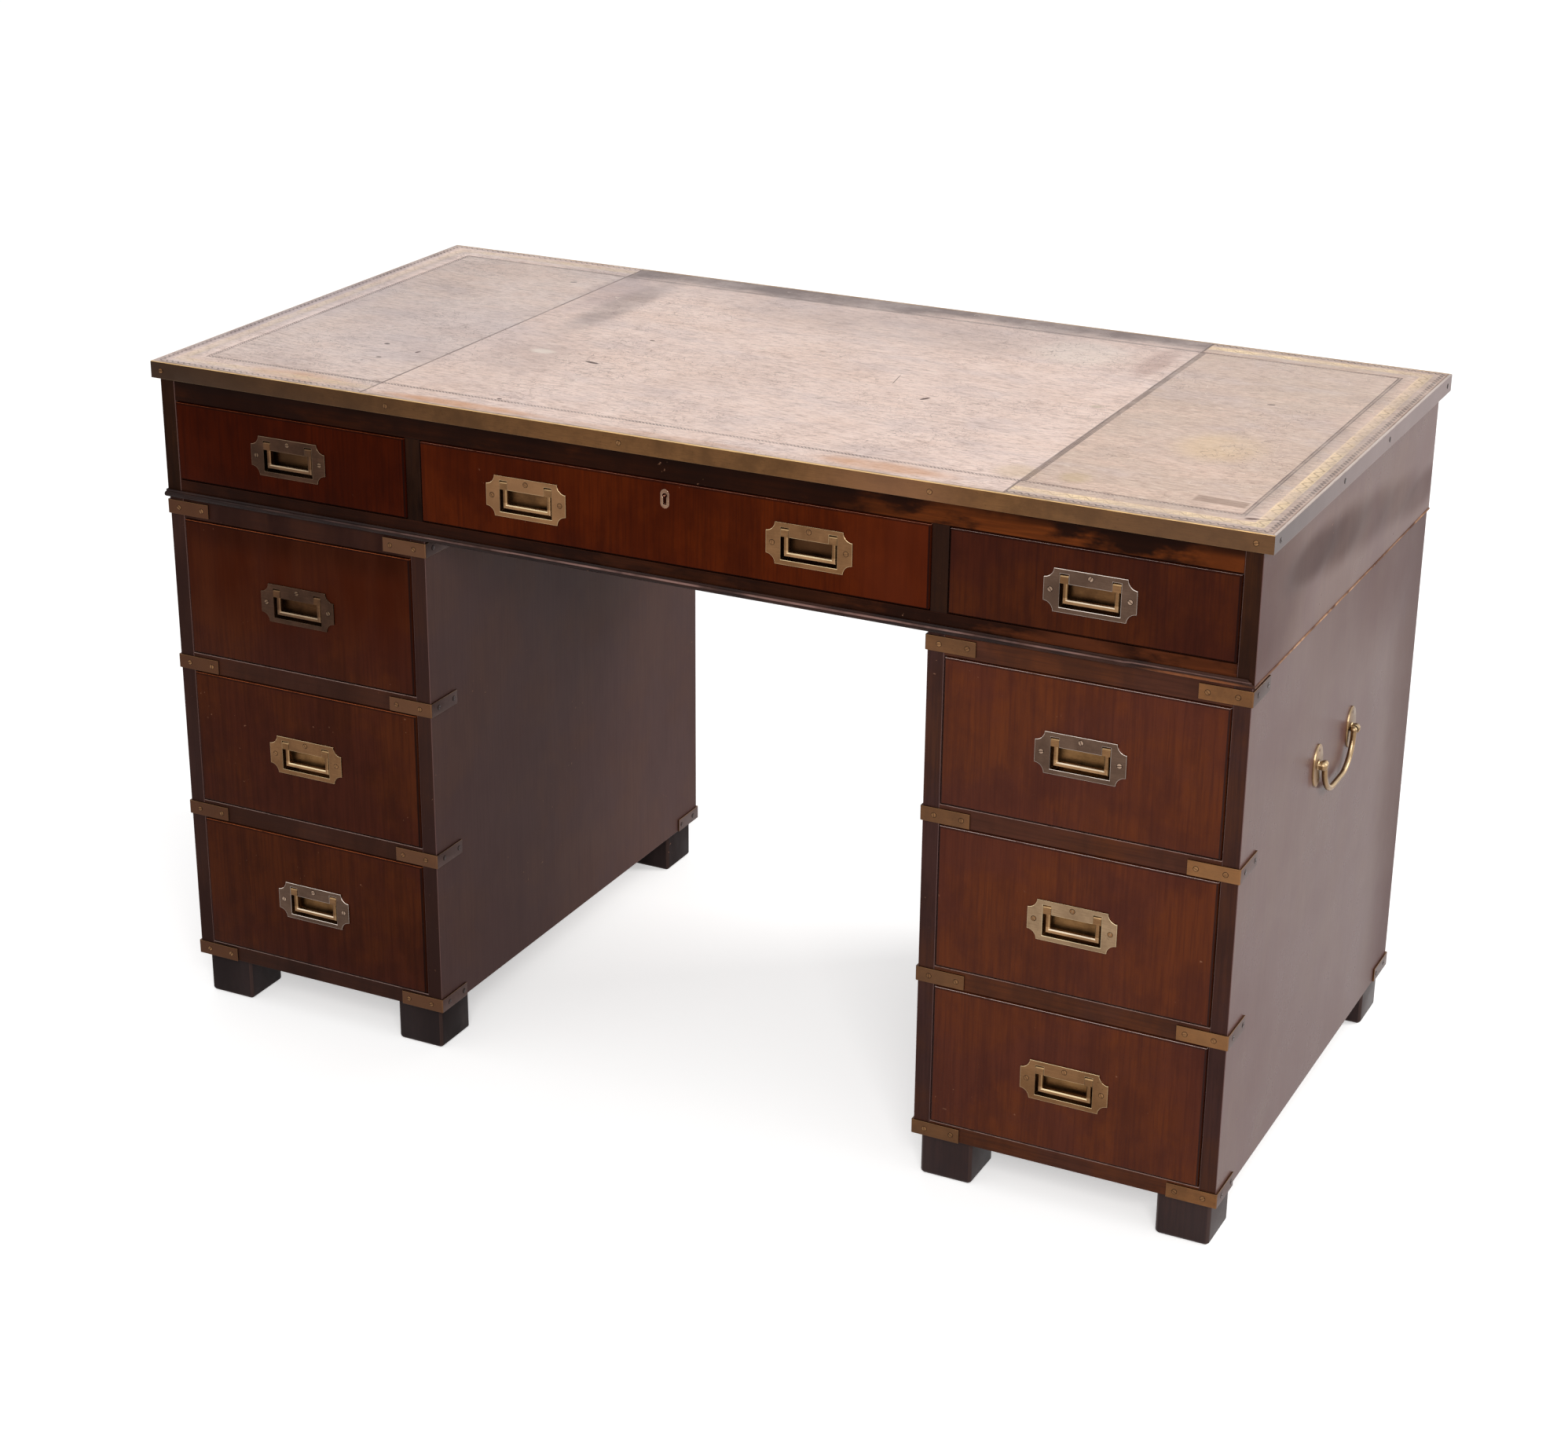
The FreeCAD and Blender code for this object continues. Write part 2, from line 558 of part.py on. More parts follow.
def dovetails(x_span, low, high):
    """Tails on the front end of a drawer side: narrow at the shoulder, wide at the tip."""
    count = max(2, round((high - low) / TAIL_PITCH_WANTED))
    pitch = (high - low) / count
    root = pitch * TAIL_ROOT_SHARE
    tip = pitch * TAIL_TIP_SHARE
    tails = []
    for index in range(count):
        middle = low + (index + 0.5) * pitch
        tip_y = FACE_BACK_Y - TAIL_LONG
        corners = ((FACE_BACK_Y, -root), (FACE_BACK_Y, root), (tip_y, tip), (tip_y, -tip))
        outline = [Vector(x_span[0], y, middle + half_tall) for y, half_tall in corners]
        tails.append(board_from(outline, Vector(x_span[1] - x_span[0], 0, 0)))
    return tails


def keyhole(y_span, middle_z):
    """The keyhole's shape from front to back: a round eye over a slot."""
    eye_z = middle_z + KEYHOLE_EYE_UP
    eye = bar(Vector(0, y_span[0], eye_z), Vector(0, y_span[1], eye_z), KEYHOLE_RADIUS)
    slot = block(both_ways(KEYHOLE_SLOT_WIDE / 2), y_span, (middle_z - KEYHOLE_SLOT_DOWN, eye_z))
    return join(eye, slot)


def build_lock(top_z):
    """Escutcheon, lock case and bolt of the centre drawer. Returns what the drawer's front is cut for."""
    middle_z = top_z - ESCUTCHEON_BELOW_TOP
    radius = ESCUTCHEON_WIDE / 2
    straight = ESCUTCHEON_TALL / 2 - radius
    plate_y = (FACE_Y, FACE_Y + ESCUTCHEON_THICK)
    ends_z = (middle_z - straight, middle_z + straight)
    oval = block(both_ways(radius), plate_y, ends_z)
    for z in ends_z:
        oval = join(oval, rod(Vector(0, plate_y[0], z), Vector(0, plate_y[1], z), radius))
    bolt_y = lock_depths()
    key_way = keyhole((FACE_Y - CUT_OVER, bolt_y[0]), middle_z)
    write("centre_top_escutcheon", [cut_from(oval, key_way)])

    case_y = (FACE_BACK_Y - LOCK_DEEP, FACE_BACK_Y)
    case_z = (top_z - LOCK_TALL, top_z)
    case = block(both_ways(LOCK_WIDE / 2), case_y, case_z)
    bolt_top = top_z - BOLT_TOP_BELOW
    bolt = block(both_ways(BOLT_WIDE / 2), bolt_y, (bolt_top - BOLT_TALL, bolt_top))
    channel = block(both_ways(BOLT_WIDE / 2 + BOLT_GAP), (bolt_y[0] - BOLT_GAP, bolt_y[1] + BOLT_GAP),
                    (bolt_top - BOLT_TALL - BOLT_GAP, top_z + CUT_OVER))
    write("centre_top_lock_case", [cut_from(case, channel, key_way)])
    write("centre_top_lock_bolt", [bolt])
    return [oval, case, key_way]


def build_drawer(key, middle_x, wide, opening_low, tall, handle_places):
    """One drawer: front, dovetailed box, flush handle plates and their bails."""
    low = opening_low + DRAWER_GAP
    top = low + tall
    half = wide / 2
    front = block((middle_x - half, middle_x + half), (FACE_Y, FACE_BACK_Y), (low, top))
    front = front.makeChamfer(FRONT_ARRIS, edges_at(front, "Y", FACE_Y)).Solids[0]

    side_low = opening_low + SIDE_LIFT
    side_high = top - SIDE_DROP
    bottom_z = (side_low + BOTTOM_RAISE, side_low + BOTTOM_RAISE + BOTTOM_THICK)
    tongue = half - SIDE_THICK + GROOVE_DEEP
    tongue_x = (middle_x - tongue, middle_x + tongue)
    bottom = block(tongue_x, (FACE_BACK_Y - FRONT_GROOVE_DEEP, BOX_BACK_Y), bottom_z)
    back_y = (BOX_BACK_Y - BACK_SET_IN - SIDE_THICK, BOX_BACK_Y - BACK_SET_IN)
    back = block(tongue_x, back_y, (bottom_z[1], side_high))
    sides = []
    sockets = []
    for outer_x, inner_x in ((-half, SIDE_THICK - half), (half - SIDE_THICK, half)):
        x_span = (middle_x + outer_x, middle_x + inner_x)
        tails = dovetails(x_span, low, side_high)
        side = join(block(x_span, (FACE_BACK_Y, BOX_BACK_Y), (side_low, side_high)), *tails)
        sides.append(cut_from(side, bottom, back))
        sockets += tails
    write(f"{key}_drawer_box", sides + [bottom, back])

    plates = []
    hollows = sockets + [bottom]
    middle_z = (low + top) / 2
    for name, handle_x in handle_places:
        at = Vector(handle_x, FACE_Y, middle_z)
        plates += [piece.translated(at) for piece in handle_plate()]
        write(f"{name}_handle_bail", [handle_bail().translated(at)])
        hollows.append(handle_pan().translated(at))
    write(f"{key}_handle_plate", plates)
    if key == "centre_top":
        hollows += build_lock(top)
    write(f"{key}_drawer_front", [cut_from(front, *hollows)])


def build_drawers():
    """Three drawers in the box and three in each pedestal."""
    box_tall = BOX_OPENING_HIGH - BOX_OPENING_LOW - 2 * DRAWER_GAP
    centre_wide = CENTRE_OPENING_WIDE - 2 * DRAWER_GAP
    handles = [("centre_top_left", -CENTRE_HANDLE_X), ("centre_top_right", CENTRE_HANDLE_X)]
    build_drawer("centre_top", 0.0, centre_wide, BOX_OPENING_LOW, box_tall, handles)
    for side, sign in (("left", -1), ("right", 1)):
        key = f"{side}_top"
        x = sign * SMALL_DRAWER_X
        build_drawer(key, x, SMALL_DRAWER_WIDE, BOX_OPENING_LOW, box_tall, [(key, x)])
        for row, low in zip(("lower", "middle", "upper"), pedestal_opening_lows()):
            key = f"{side}_{row}"
            x = sign * PEDESTAL_MID_X
            build_drawer(key, x, SMALL_DRAWER_WIDE, low, PEDESTAL_DRAWER_TALL, [(key, x)])


def carry_plate():
    """One oval plate of a carry handle on the right side, with the bored boss that takes a pin.
    Its hole faces back along Y, towards the middle of the handle."""
    tall = CARRY_PLATE_TALL / 2
    wide = CARRY_PLATE_WIDE / 2
    points = [Vector(0, 0, -tall), Vector(0, wide, 0), Vector(0, 0, tall), Vector(0, -wide, 0)]
    front_rim = Part.Arc(points[0], points[1], points[2]).toShape()
    back_rim = Part.Arc(points[2], points[3], points[0]).toShape()
    leaf = Part.Face(Part.Wire([front_rim, back_rim])).extrude(Vector(CARRY_PLATE_THICK, 0, 0))
    half_boss = CARRY_BOSS_LONG / 2
    neck = block((0, CARRY_PIN_OUT), both_ways(half_boss), both_ways(CARRY_NECK_TALL / 2))
    near_end = Vector(CARRY_PIN_OUT, -half_boss, 0)
    along = Vector(0, CARRY_BOSS_LONG, 0)
    boss = bar(near_end, near_end + along, CARRY_BOSS_RADIUS)
    blind_end = near_end + along - Vector(0, CARRY_HOLE_BLIND, 0)
    hole = bar(near_end, blind_end, CARRY_PIN_HOLE)
    return cut_from(join(leaf, neck, boss), hole)


def carry_bail():
    """The drop bail on the right side: a bent rod with an eye and a pin at the top of each arm."""
    bend = CARRY_BAIL_BEND
    centre = Vector(0, CARRY_BAIL_HALF - bend, bend - CARRY_BAIL_DROP)
    turns = [math.radians(90 * step / CARRY_BEND_STEPS) for step in range(CARRY_BEND_STEPS + 1)]
    near = [Vector(0, CARRY_BAIL_HALF, 0)]
    near += [centre + Vector(0, math.cos(turn), -math.sin(turn)) * bend for turn in turns]
    far = [Vector(0, -point.y, point.z) for point in reversed(near)]
    route = Part.makePolygon(near + far)
    bail = route.makePipeShell([ring_of(near[0], Vector(0, 0, -1), CARRY_BAIL_RADIUS)], True, False, MITRED)
    bail = Part.Solid(bail)
    reaches = (-CARRY_BAIL_RADIUS, CARRY_BAIL_RADIUS, CARRY_PIN_LONG)
    for side in (-1, 1):
        eye_in, eye_out, pin_end = [Vector(0, side * (CARRY_BAIL_HALF + reach), 0) for reach in reaches]
        bail = join(bail, bar(eye_in, eye_out, CARRY_EYE_RADIUS), bar(eye_out, pin_end, CARRY_PIN_RADIUS))
    return bail


def build_carry_handles():
    """A drop handle on the outer side of each pedestal, for carrying it."""
    middle = Vector(PEDESTAL_OUT, CARRY_Y, CARRY_Z)
    spread = Vector(0, CARRY_PLATE_APART / 2, 0)
    far_plate = carry_plate().translated(middle + spread)
    near_plate = carry_plate().mirror(Vector(0, 0, 0), Vector(0, 1, 0)).translated(middle - spread)
    bail = carry_bail().translated(middle + Vector(CARRY_PIN_OUT, 0, 0))
    plates = [far_plate, near_plate]
    write("carry_handle_plates", plates + [mirrored(plate) for plate in plates])
    write("right_carry_bail", [bail])
    write("left_carry_bail", [mirrored(bail)])


os.makedirs("parts", exist_ok=True)
build_top()
build_box()
build_pedestals()
build_drawers()
build_carry_handles()
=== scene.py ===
# Campaign desk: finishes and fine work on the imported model, in metres and in the model's own frame.
# X runs to the sitter's right, Y away from the sitter and Z up, with the floor at zero.
import bpy
import json
import math
import random
from mathutils import Matrix, Vector

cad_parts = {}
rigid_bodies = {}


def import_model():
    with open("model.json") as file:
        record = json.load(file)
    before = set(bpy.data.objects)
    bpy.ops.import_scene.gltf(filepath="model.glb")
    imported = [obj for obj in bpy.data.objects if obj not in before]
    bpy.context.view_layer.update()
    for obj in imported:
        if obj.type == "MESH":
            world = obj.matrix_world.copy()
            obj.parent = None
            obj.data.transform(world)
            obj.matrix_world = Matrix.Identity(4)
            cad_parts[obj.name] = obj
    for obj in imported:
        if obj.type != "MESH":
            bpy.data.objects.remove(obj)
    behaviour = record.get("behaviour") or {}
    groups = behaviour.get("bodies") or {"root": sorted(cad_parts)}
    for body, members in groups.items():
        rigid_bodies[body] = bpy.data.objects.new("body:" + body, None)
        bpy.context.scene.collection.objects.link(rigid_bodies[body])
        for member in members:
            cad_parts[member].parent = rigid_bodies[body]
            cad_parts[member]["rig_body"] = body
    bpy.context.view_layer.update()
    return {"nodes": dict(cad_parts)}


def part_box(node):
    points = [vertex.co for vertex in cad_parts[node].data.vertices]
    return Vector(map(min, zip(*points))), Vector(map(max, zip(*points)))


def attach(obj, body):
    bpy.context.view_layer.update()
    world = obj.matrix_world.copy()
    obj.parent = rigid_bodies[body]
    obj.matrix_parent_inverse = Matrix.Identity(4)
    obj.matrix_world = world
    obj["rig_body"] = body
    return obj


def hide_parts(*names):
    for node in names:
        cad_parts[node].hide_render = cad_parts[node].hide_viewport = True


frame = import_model()
cad = frame["nodes"]
dice = random.Random(1874)

# ---- pedestals ----
# Two carcasses of mahogany boards, each with sides, back, bottom and top glued up and four rails housed
# between the sides in front. The boards are planed, stained and polished, and their outer faces have faded.
BOARD_ARRIS = 0.0006
FLAT_ANGLE = math.radians(1)
SHARP_ANGLE = math.radians(24)
SMOOTH_ANGLE = math.radians(20)
ALONG_AXIS = 0.95  # a face counts as flat when its normal has this much of one axis
UPWARD = 0.3  # an arris looks up, and takes its finish's painted highlight, when its normal has this much of Z
FACING = {"front": Vector((0, -1, 0)), "back": Vector((0, 1, 0)), "right": Vector((1, 0, 0)),
          "left": Vector((-1, 0, 0)), "up": Vector((0, 0, 1))}


def only(piece):
    """Makes one object the only one selected, because an operator acts on all that is selected."""
    bpy.ops.object.select_all(action="DESELECT")
    piece.select_set(True)
    bpy.context.view_layer.objects.active = piece


def opened(piece, chosen=None):
    """Opens a piece in edit mode, selected all over or only where its faces pass a test."""
    only(piece)
    bpy.ops.object.mode_set(mode="EDIT")
    bpy.ops.mesh.select_mode(type="FACE" if chosen else "EDGE")
    bpy.ops.mesh.select_all(action="DESELECT" if chosen else "SELECT")
    if chosen:
        bpy.ops.object.mode_set(mode="OBJECT")
        for face in piece.data.polygons:
            face.select = chosen(face)
        bpy.ops.object.mode_set(mode="EDIT")


def closed():
    """Leaves edit mode."""
    bpy.ops.object.mode_set(mode="OBJECT")


def cut_through(place, way):
    """Cuts the open piece along a plane."""
    bpy.ops.mesh.select_all(action="SELECT")
    bpy.ops.mesh.bisect(plane_co=place, plane_no=way)


def solids_of(node):
    """The closed solids of a model node in their order, each as its corners and its triangles."""
    mesh = cad[node].data
    solids, corners, triangles, unmatched = [], {}, [], set()
    for face in mesh.polygons:
        places = [tuple(round(value, 6) for value in mesh.vertices[index].co) for index in face.vertices]
        ring = [corners.setdefault(place, len(corners)) for place in places]
        triangles.append(ring)
        for start, end in zip(ring, ring[1:] + ring[:1]):
            if (end, start) in unmatched:
                unmatched.remove((end, start))
            else:
                unmatched.add((start, end))
        if not unmatched:
            solids.append((list(corners), triangles))
            corners, triangles = {}, []
    return solids


def mesh_piece(name, points, faces):
    """A new object from corners and faces, selected by itself."""
    mesh = bpy.data.meshes.new(name)
    mesh.from_pydata(points, [], faces)
    piece = bpy.data.objects.new(name, mesh)
    bpy.context.scene.collection.objects.link(piece)
    only(piece)
    return piece


def ease(piece, width):
    """Rounds every sharp edge of a piece, after its triangles are merged back into flat faces."""
    opened(piece)
    bpy.ops.mesh.dissolve_limited(angle_limit=FLAT_ANGLE)
    bpy.ops.mesh.select_all(action="DESELECT")
    bpy.ops.mesh.edges_select_sharp(sharpness=SHARP_ANGLE)
    if width:
        bpy.ops.mesh.bevel(offset=width, segments=2, clamp_overlap=True)
    closed()


def mark_arrises(piece):
    """Marks every face that no axis crosses squarely, for its finish's painted light and shade: 1 if it looks
    up, or else -1.
    """
    # this mark carries the painted highlight and the painted shade along the arrises
    worn = piece.data.attributes.new("arris", "FLOAT", "FACE")
    for face in piece.data.polygons:
        if max(abs(part) for part in face.normal) < ALONG_AXIS:
            worn.data[face.index].value = 1.0 if face.normal.z > UPWARD else -1.0


def settle(piece, body, node=None):
    """Fixes a piece to the body that carries it, and hides the model node that it stands for, when one is
    given.
    """
    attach(piece, body)
    if node:
        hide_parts(node)


def dress(node, finishes, arris=BOARD_ARRIS, facing=None, marked=True):
    """The boards of a model node as a piece of their own, with eased edges.
    There is one finish for all of its solids or one for each, and maybe others for what faces some ways."""
    points, faces, owners = [], [], []
    for index, (corners, triangles) in enumerate(solids_of(node)):
        faces += [[len(points) + corner for corner in ring] for ring in triangles]
        owners += [index] * len(triangles)
        points += corners
    piece = mesh_piece(f"dressed_{node}", points, faces)
    facing = facing or {}
    kinds = list(dict.fromkeys(finishes + list(facing.values())))
    for finish in kinds:
        piece.data.materials.append(finish)
    for face, owner in zip(piece.data.polygons, owners):
        face.material_index = kinds.index(finishes[owner % len(finishes)])
    ease(piece, arris)
    for way, finish in facing.items():
        for face in piece.data.polygons:
            if face.normal.dot(FACING[way]) > ALONG_AXIS:
                face.material_index = kinds.index(finish)
    if marked:
        mark_arrises(piece)
    bpy.ops.object.shade_smooth_by_angle(angle=SMOOTH_ANGLE)
    settle(piece, cad[node]["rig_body"], node)
    return piece


def shader(kind, sockets=(), tree=None, **settings):
    """One shader node, each socket given a number, a colour or the output that feeds it.
    It needs to be told its tree only when nothing feeds it."""
    fed = {key: value for key, value in dict(sockets).items() if isinstance(value, bpy.types.NodeSocket)}
    tree = tree or next(iter(fed.values())).id_data
    made = tree.nodes.new("ShaderNode" + kind)
    for name, value in settings.items():
        setattr(made, name, value)
    for key, value in dict(sockets).items():
        if key in fed:
            tree.links.new(value, made.inputs[key])
        else:
            made.inputs[key].default_value = value
    return made


def sum_of(kind, first, second=0.0, third=0.0):
    """The result of one sum on two values, or on three."""
    return shader("Math", {0: first, 1: second, 2: third}, operation=kind).outputs[0]


def larger(first, second):
    """The larger of two values."""
    return sum_of("MAXIMUM", first, second)


def product(*values):
    """Several values multiplied together."""
    result = values[0]
    for value in values[1:]:
        result = sum_of("MULTIPLY", result, value)
    return result


def cloud(place, scale, detail=3.0, roughness=0.55):
    """Soft noise from about 0.25 to 0.75, with that many lumps to the metre."""
    sockets = {"Vector": place, "Scale": scale, "Detail": detail, "Roughness": roughness}
    return shader("TexNoise", sockets).outputs["Fac"]


def faded(value, low, high, low_to=0.0, high_to=1.0):
    """A value spread smoothly from one range on to another, and held there at both ends."""
    sockets = {"Value": value, "From Min": low, "From Max": high, "To Min": low_to, "To Max": high_to}
    return shader("MapRange", sockets, interpolation_type="SMOOTHSTEP").outputs["Result"]


def seen(red, green, blue):
    """A colour as the eye sees it, each part from 0 to 255, turned into the shader's own numbers."""
    parts = [part / 255 for part in (red, green, blue)]
    return tuple(part / 12.92 if part < 0.04 else ((part + 0.055) / 1.055) ** 2.4 for part in parts) + (1.0,)


def tinted(share, first, second):
    """The first colour turning into the second, each given as three numbers for the eye or as an output."""
    pair = [seen(*part) if isinstance(part, tuple) and len(part) == 3 else part for part in (first, second)]
    return shader("Mix", {"Factor": share, 6: pair[0], 7: pair[1]}, data_type="RGBA").outputs[2]


def stretched(place, x, y, z):
    """The same place with each axis scaled, which draws a pattern out along the axes scaled down."""
    return shader("Mapping", {"Vector": place, "Scale": (x, y, z)}).outputs[0]


def spot(place, middle, halves, soft=0.35):
    """One in the middle of a spot and nothing outside it, with a half size along each axis."""
    sockets = {"Vector": place, "Location": middle, "Scale": halves}
    centred = shader("Mapping", sockets, vector_type="TEXTURE").outputs[0]
    away = shader("VectorMath", {0: centred}, operation="LENGTH").outputs["Value"]
    return faded(away, soft, 1, 1, 0)


def axes_of(place):
    """The three parts of a place."""
    split = shader("SeparateXYZ", {0: place})
    return [split.outputs[axis] for axis in "XYZ"]


def new_finish(name, metallic=0.0, specular=0.5):
    """An empty finish, with its shader and the place on the piece that patterns follow."""
    finish = bpy.data.materials.new(name)
    finish.use_nodes = True
    surface = finish.node_tree.nodes["Principled BSDF"]
    surface.inputs["Metallic"].default_value = metallic
    surface.inputs["Specular IOR Level"].default_value = specular
    return finish, surface, shader("TexCoord", tree=finish.node_tree).outputs["Object"]


def feed(surface, socket, value):
    """Feeds one socket of the surface with an output."""
    value.id_data.links.new(value, surface.inputs[socket])


def bumped(surface, height, depth, strength=1.0):
    """Gives the surface a relief of that real depth."""
    relief = shader("Bump", {"Height": height, "Distance": depth, "Strength": strength})
    feed(surface, "Normal", relief.outputs["Normal"])


def lined(place, colour, unbroken, up_line, side_line):
    """A colour with painted light and shade along its arrises, by the marks of mark_arrises: those that look
    up, then the others. Each line is a colour and its share, and those that look up are broken unevenly."""
    mark = shader("Attribute", tree=place.id_data, attribute_name="arris").outputs["Fac"]
    up, aside = larger(mark, 0.0), larger(sum_of("MULTIPLY", mark, -1.0), 0.0)
    colour = tinted(product(up, unbroken, up_line[1]), colour, up_line[0])
    return tinted(product(aside, side_line[1]), colour, side_line[0])


GRAIN_DRAWN = 0.045  # how far figure is drawn out along the grain, and pores more than that
PORES_DRAWN = 0.014
PORES_DEEP = 0.0001
# Arris lines, each a colour and its share: a painted highlight along arrises that look up, and painted shade
# along the others.
PALE_ARRIS = ((176, 148, 140), 0.6)
DARK_ARRIS = ((34, 20, 18), 0.5)
BARE_NICK = (168, 122, 96)


def mahogany(name, grain, ground, dark, warm, arris=PALE_ARRIS, side_arris=DARK_ARRIS, worn=None,
             shine=0.3, specular=0.1, figured=0.3, spots=()):
    """Polished mahogany, its grain along one axis: clouds of colour, figure, pores, nicks, and painted light
    and shade along its arrises. Worn patches grow from left to right. Each spot has a middle, half sizes, a
    share and a colour, and roughens the polish where it lies; the spots are painted shade, light and
    reflection, and a few real marks."""
    finish, surface, place = new_finish(name, specular=specular)
    along = stretched(place, *[GRAIN_DRAWN if axis == grain else 1.0 for axis in "XYZ"])
    fine = cloud(along, 330, 3, 0.6)
    pores = cloud(stretched(place, *[PORES_DRAWN if axis == grain else 1.0 for axis in "XYZ"]), 760, 2, 0.6)
    colour = tinted(faded(cloud(place, 9, 5, 0.62), 0.4, 0.6), ground, warm)
    for figure, low, high, share in (
            (cloud(stretched(place, 1, 1, 0.6), 24, 5, 0.6), 0.44, 0.66, figured * 1.5),
            (cloud(along, 78, 5, 0.62), 0.38, 0.66, figured), (fine, 0.42, 0.66, figured + 0.1),
            (pores, 0.55, 0.74, 0.4)):
        colour = tinted(faded(figure, low, high, 0, share), colour, dark)
    if worn:
        patch = faded(cloud(stretched(place, 0.4, 1, 1), 21, 5, 0.62), 0.47, 0.6)
        grown = faded(axes_of(place)[0], -0.25, 0.45, 0.12, 1)
        colour = tinted(product(patch, grown, faded(fine, 0.3, 0.6, 0.95, 0.6)), colour, worn)
    dull = 0.0
    for middle, halves, share, shade in spots:
        uneven = faded(cloud(stretched(place, 1, 1, 0.3), 17, 4), 0.36, 0.6, 1 - 1.5 * figured, 1)
        spot_share = product(spot(place, middle, halves), uneven, share)
        colour = tinted(spot_share, colour, shade)
        dull = larger(spot_share, dull)
    nick = product(faded(cloud(place, 210, 2), 0.71, 0.74), faded(cloud(place, 15, 2), 0.6, 0.66, 0, 0.35))
    colour = tinted(nick, colour, BARE_NICK)
    colour = lined(place, colour, faded(cloud(place, 55, 4, 0.7), 0.32, 0.5, 0.45, 1.0), arris, side_arris)
    feed(surface, "Base Color", colour)
    smear = faded(cloud(place, 12, 6, 0.6), 0.3, 0.7, shine - figured / 6, shine + figured / 3)
    feed(surface, "Roughness", sum_of("MULTIPLY_ADD", dull, 0.35, smear))
    bumped(surface, pores, PORES_DEEP, 0.4)
    return finish


# Spots on the sides: the right side darker towards the back and the top, a painted shade; brown patches round
# the right carry handle's plates, a painted reflection of the handle; and the left side browner all over.
SIDE_GLOOM = (((0.62, 0.36, 0.5), (0.6, 0.2, 9), 0.42, (66, 44, 43)),
              ((0.62, 0.3, 0.63), (0.6, 0.5, 0.18), 0.35, (72, 49, 48)),
              ((0.6233, -0.083, 0.4425), (0.1, 0.014, 0.022), 0.6, (100, 68, 54)),
              ((0.6233, 0.037, 0.4425), (0.1, 0.013, 0.022), 0.5, (100, 68, 54)),
              ((0.6233, 0.024, 0.42), (0.1, 0.016, 0.024), 0.35, (100, 68, 54)),
              ((-0.62, 0, 0.3), (0.5, 9, 9), 0.7, (86, 54, 42)))
# Painted highlights along the arrises of the sides and box ends, paler on those that look up.
PAINTED_SIDE_ARRISES = (((150, 126, 122), 0.5), ((110, 86, 84), 0.5))
side_mahogany = mahogany("side_mahogany", "Z", (94, 65, 61), (80, 53, 50), (98, 71, 64), *PAINTED_SIDE_ARRISES,
                         shine=0.28, specular=0.06, figured=0.07, spots=SIDE_GLOOM)
# LEFT_FRONT spots darken the left pedestal's front all over, a painted shade. The rail spots below also paint
# a shadow along the top of the left pedestal, under the box, and darken the left pedestal towards the bottom.
LEFT_FRONT = (-0.46, -0.31, 0.3)
ALL_OVER = (0.5, 9, 9)
stile_mahogany = mahogany("stile_mahogany", "Z", (60, 36, 32), (40, 23, 21), (68, 38, 26), shine=0.32,
                          specular=0.06, spots=((LEFT_FRONT, ALL_OVER, 0.9, (43, 25, 21)),))
rail_mahogany = mahogany("rail_mahogany", "X", (76, 42, 30), (50, 27, 19), (84, 44, 24), shine=0.32,
                         specular=0.06,
                         spots=((LEFT_FRONT, ALL_OVER, 0.9, (46, 25, 18)),
                                ((-0.46, -0.31, 0.62), (0.5, 9, 0.07), 0.9, (30, 9, 5)),
                                ((-0.46, -0.31, 0.04), (0.5, 9, 0.08), 0.6, (30, 18, 15))))
kneehole_mahogany = mahogany("kneehole_mahogany", "Z", (82, 58, 55), (70, 48, 46), (86, 60, 53), shine=0.4,
                             specular=0.05, figured=0.12)
back_mahogany = mahogany("back_mahogany", "X", (82, 47, 33), (58, 32, 23), (90, 54, 34), shine=0.36,
                         specular=0.12, figured=0.4)
inner_board = mahogany("inner_board", "X", (86, 54, 38), (66, 40, 28), (98, 66, 46), shine=0.55)
KNEEHOLE_WAY = {"left": "right", "right": "left"}
for side, way in KNEEHOLE_WAY.items():
    dress(f"{side}_pedestal_panels",
          [side_mahogany, side_mahogany, back_mahogany, inner_board, inner_board],
          facing={"front": stile_mahogany, "back": back_mahogany, way: kneehole_mahogany})
    dress(f"{side}_pedestal_front_frame", [rail_mahogany])

# ---- runners and pegs ----
# Plain hardwood strips glued to the sides, which the drawers slide on, and the turned pegs that place the box
# on the pedestals. They are waxed and never polished.
PEG_ARRIS = 0.0008
plain_strip = mahogany("plain_strip", "Y", (136, 102, 68), (112, 82, 54), (150, 116, 80), shine=0.6)
for side in KNEEHOLE_WAY:
    dress(f"{side}_pedestal_runners", [plain_strip])
dress("locating_pegs", [plain_strip], PEG_ARRIS)

# ---- feet ----
# Eight square blocks of mahogany screwed up under the corners, with rounded uprights, and toes scuffed by
# floors and mops.
FOOT_ARRIS = 0.001
# The spot darkens the left pedestal's feet, a painted shade.
foot_mahogany = mahogany("foot_mahogany", "Z", (44, 29, 29), (32, 20, 20), (50, 31, 28), ((88, 66, 60), 0.4),
                         ((74, 54, 48), 0.4), shine=0.42, specular=0.16,
                         spots=(((-0.46, 0, 0), ALL_OVER, 0.9, (24, 14, 14)),))
dress("block_feet", [foot_mahogany], FOOT_ARRIS)

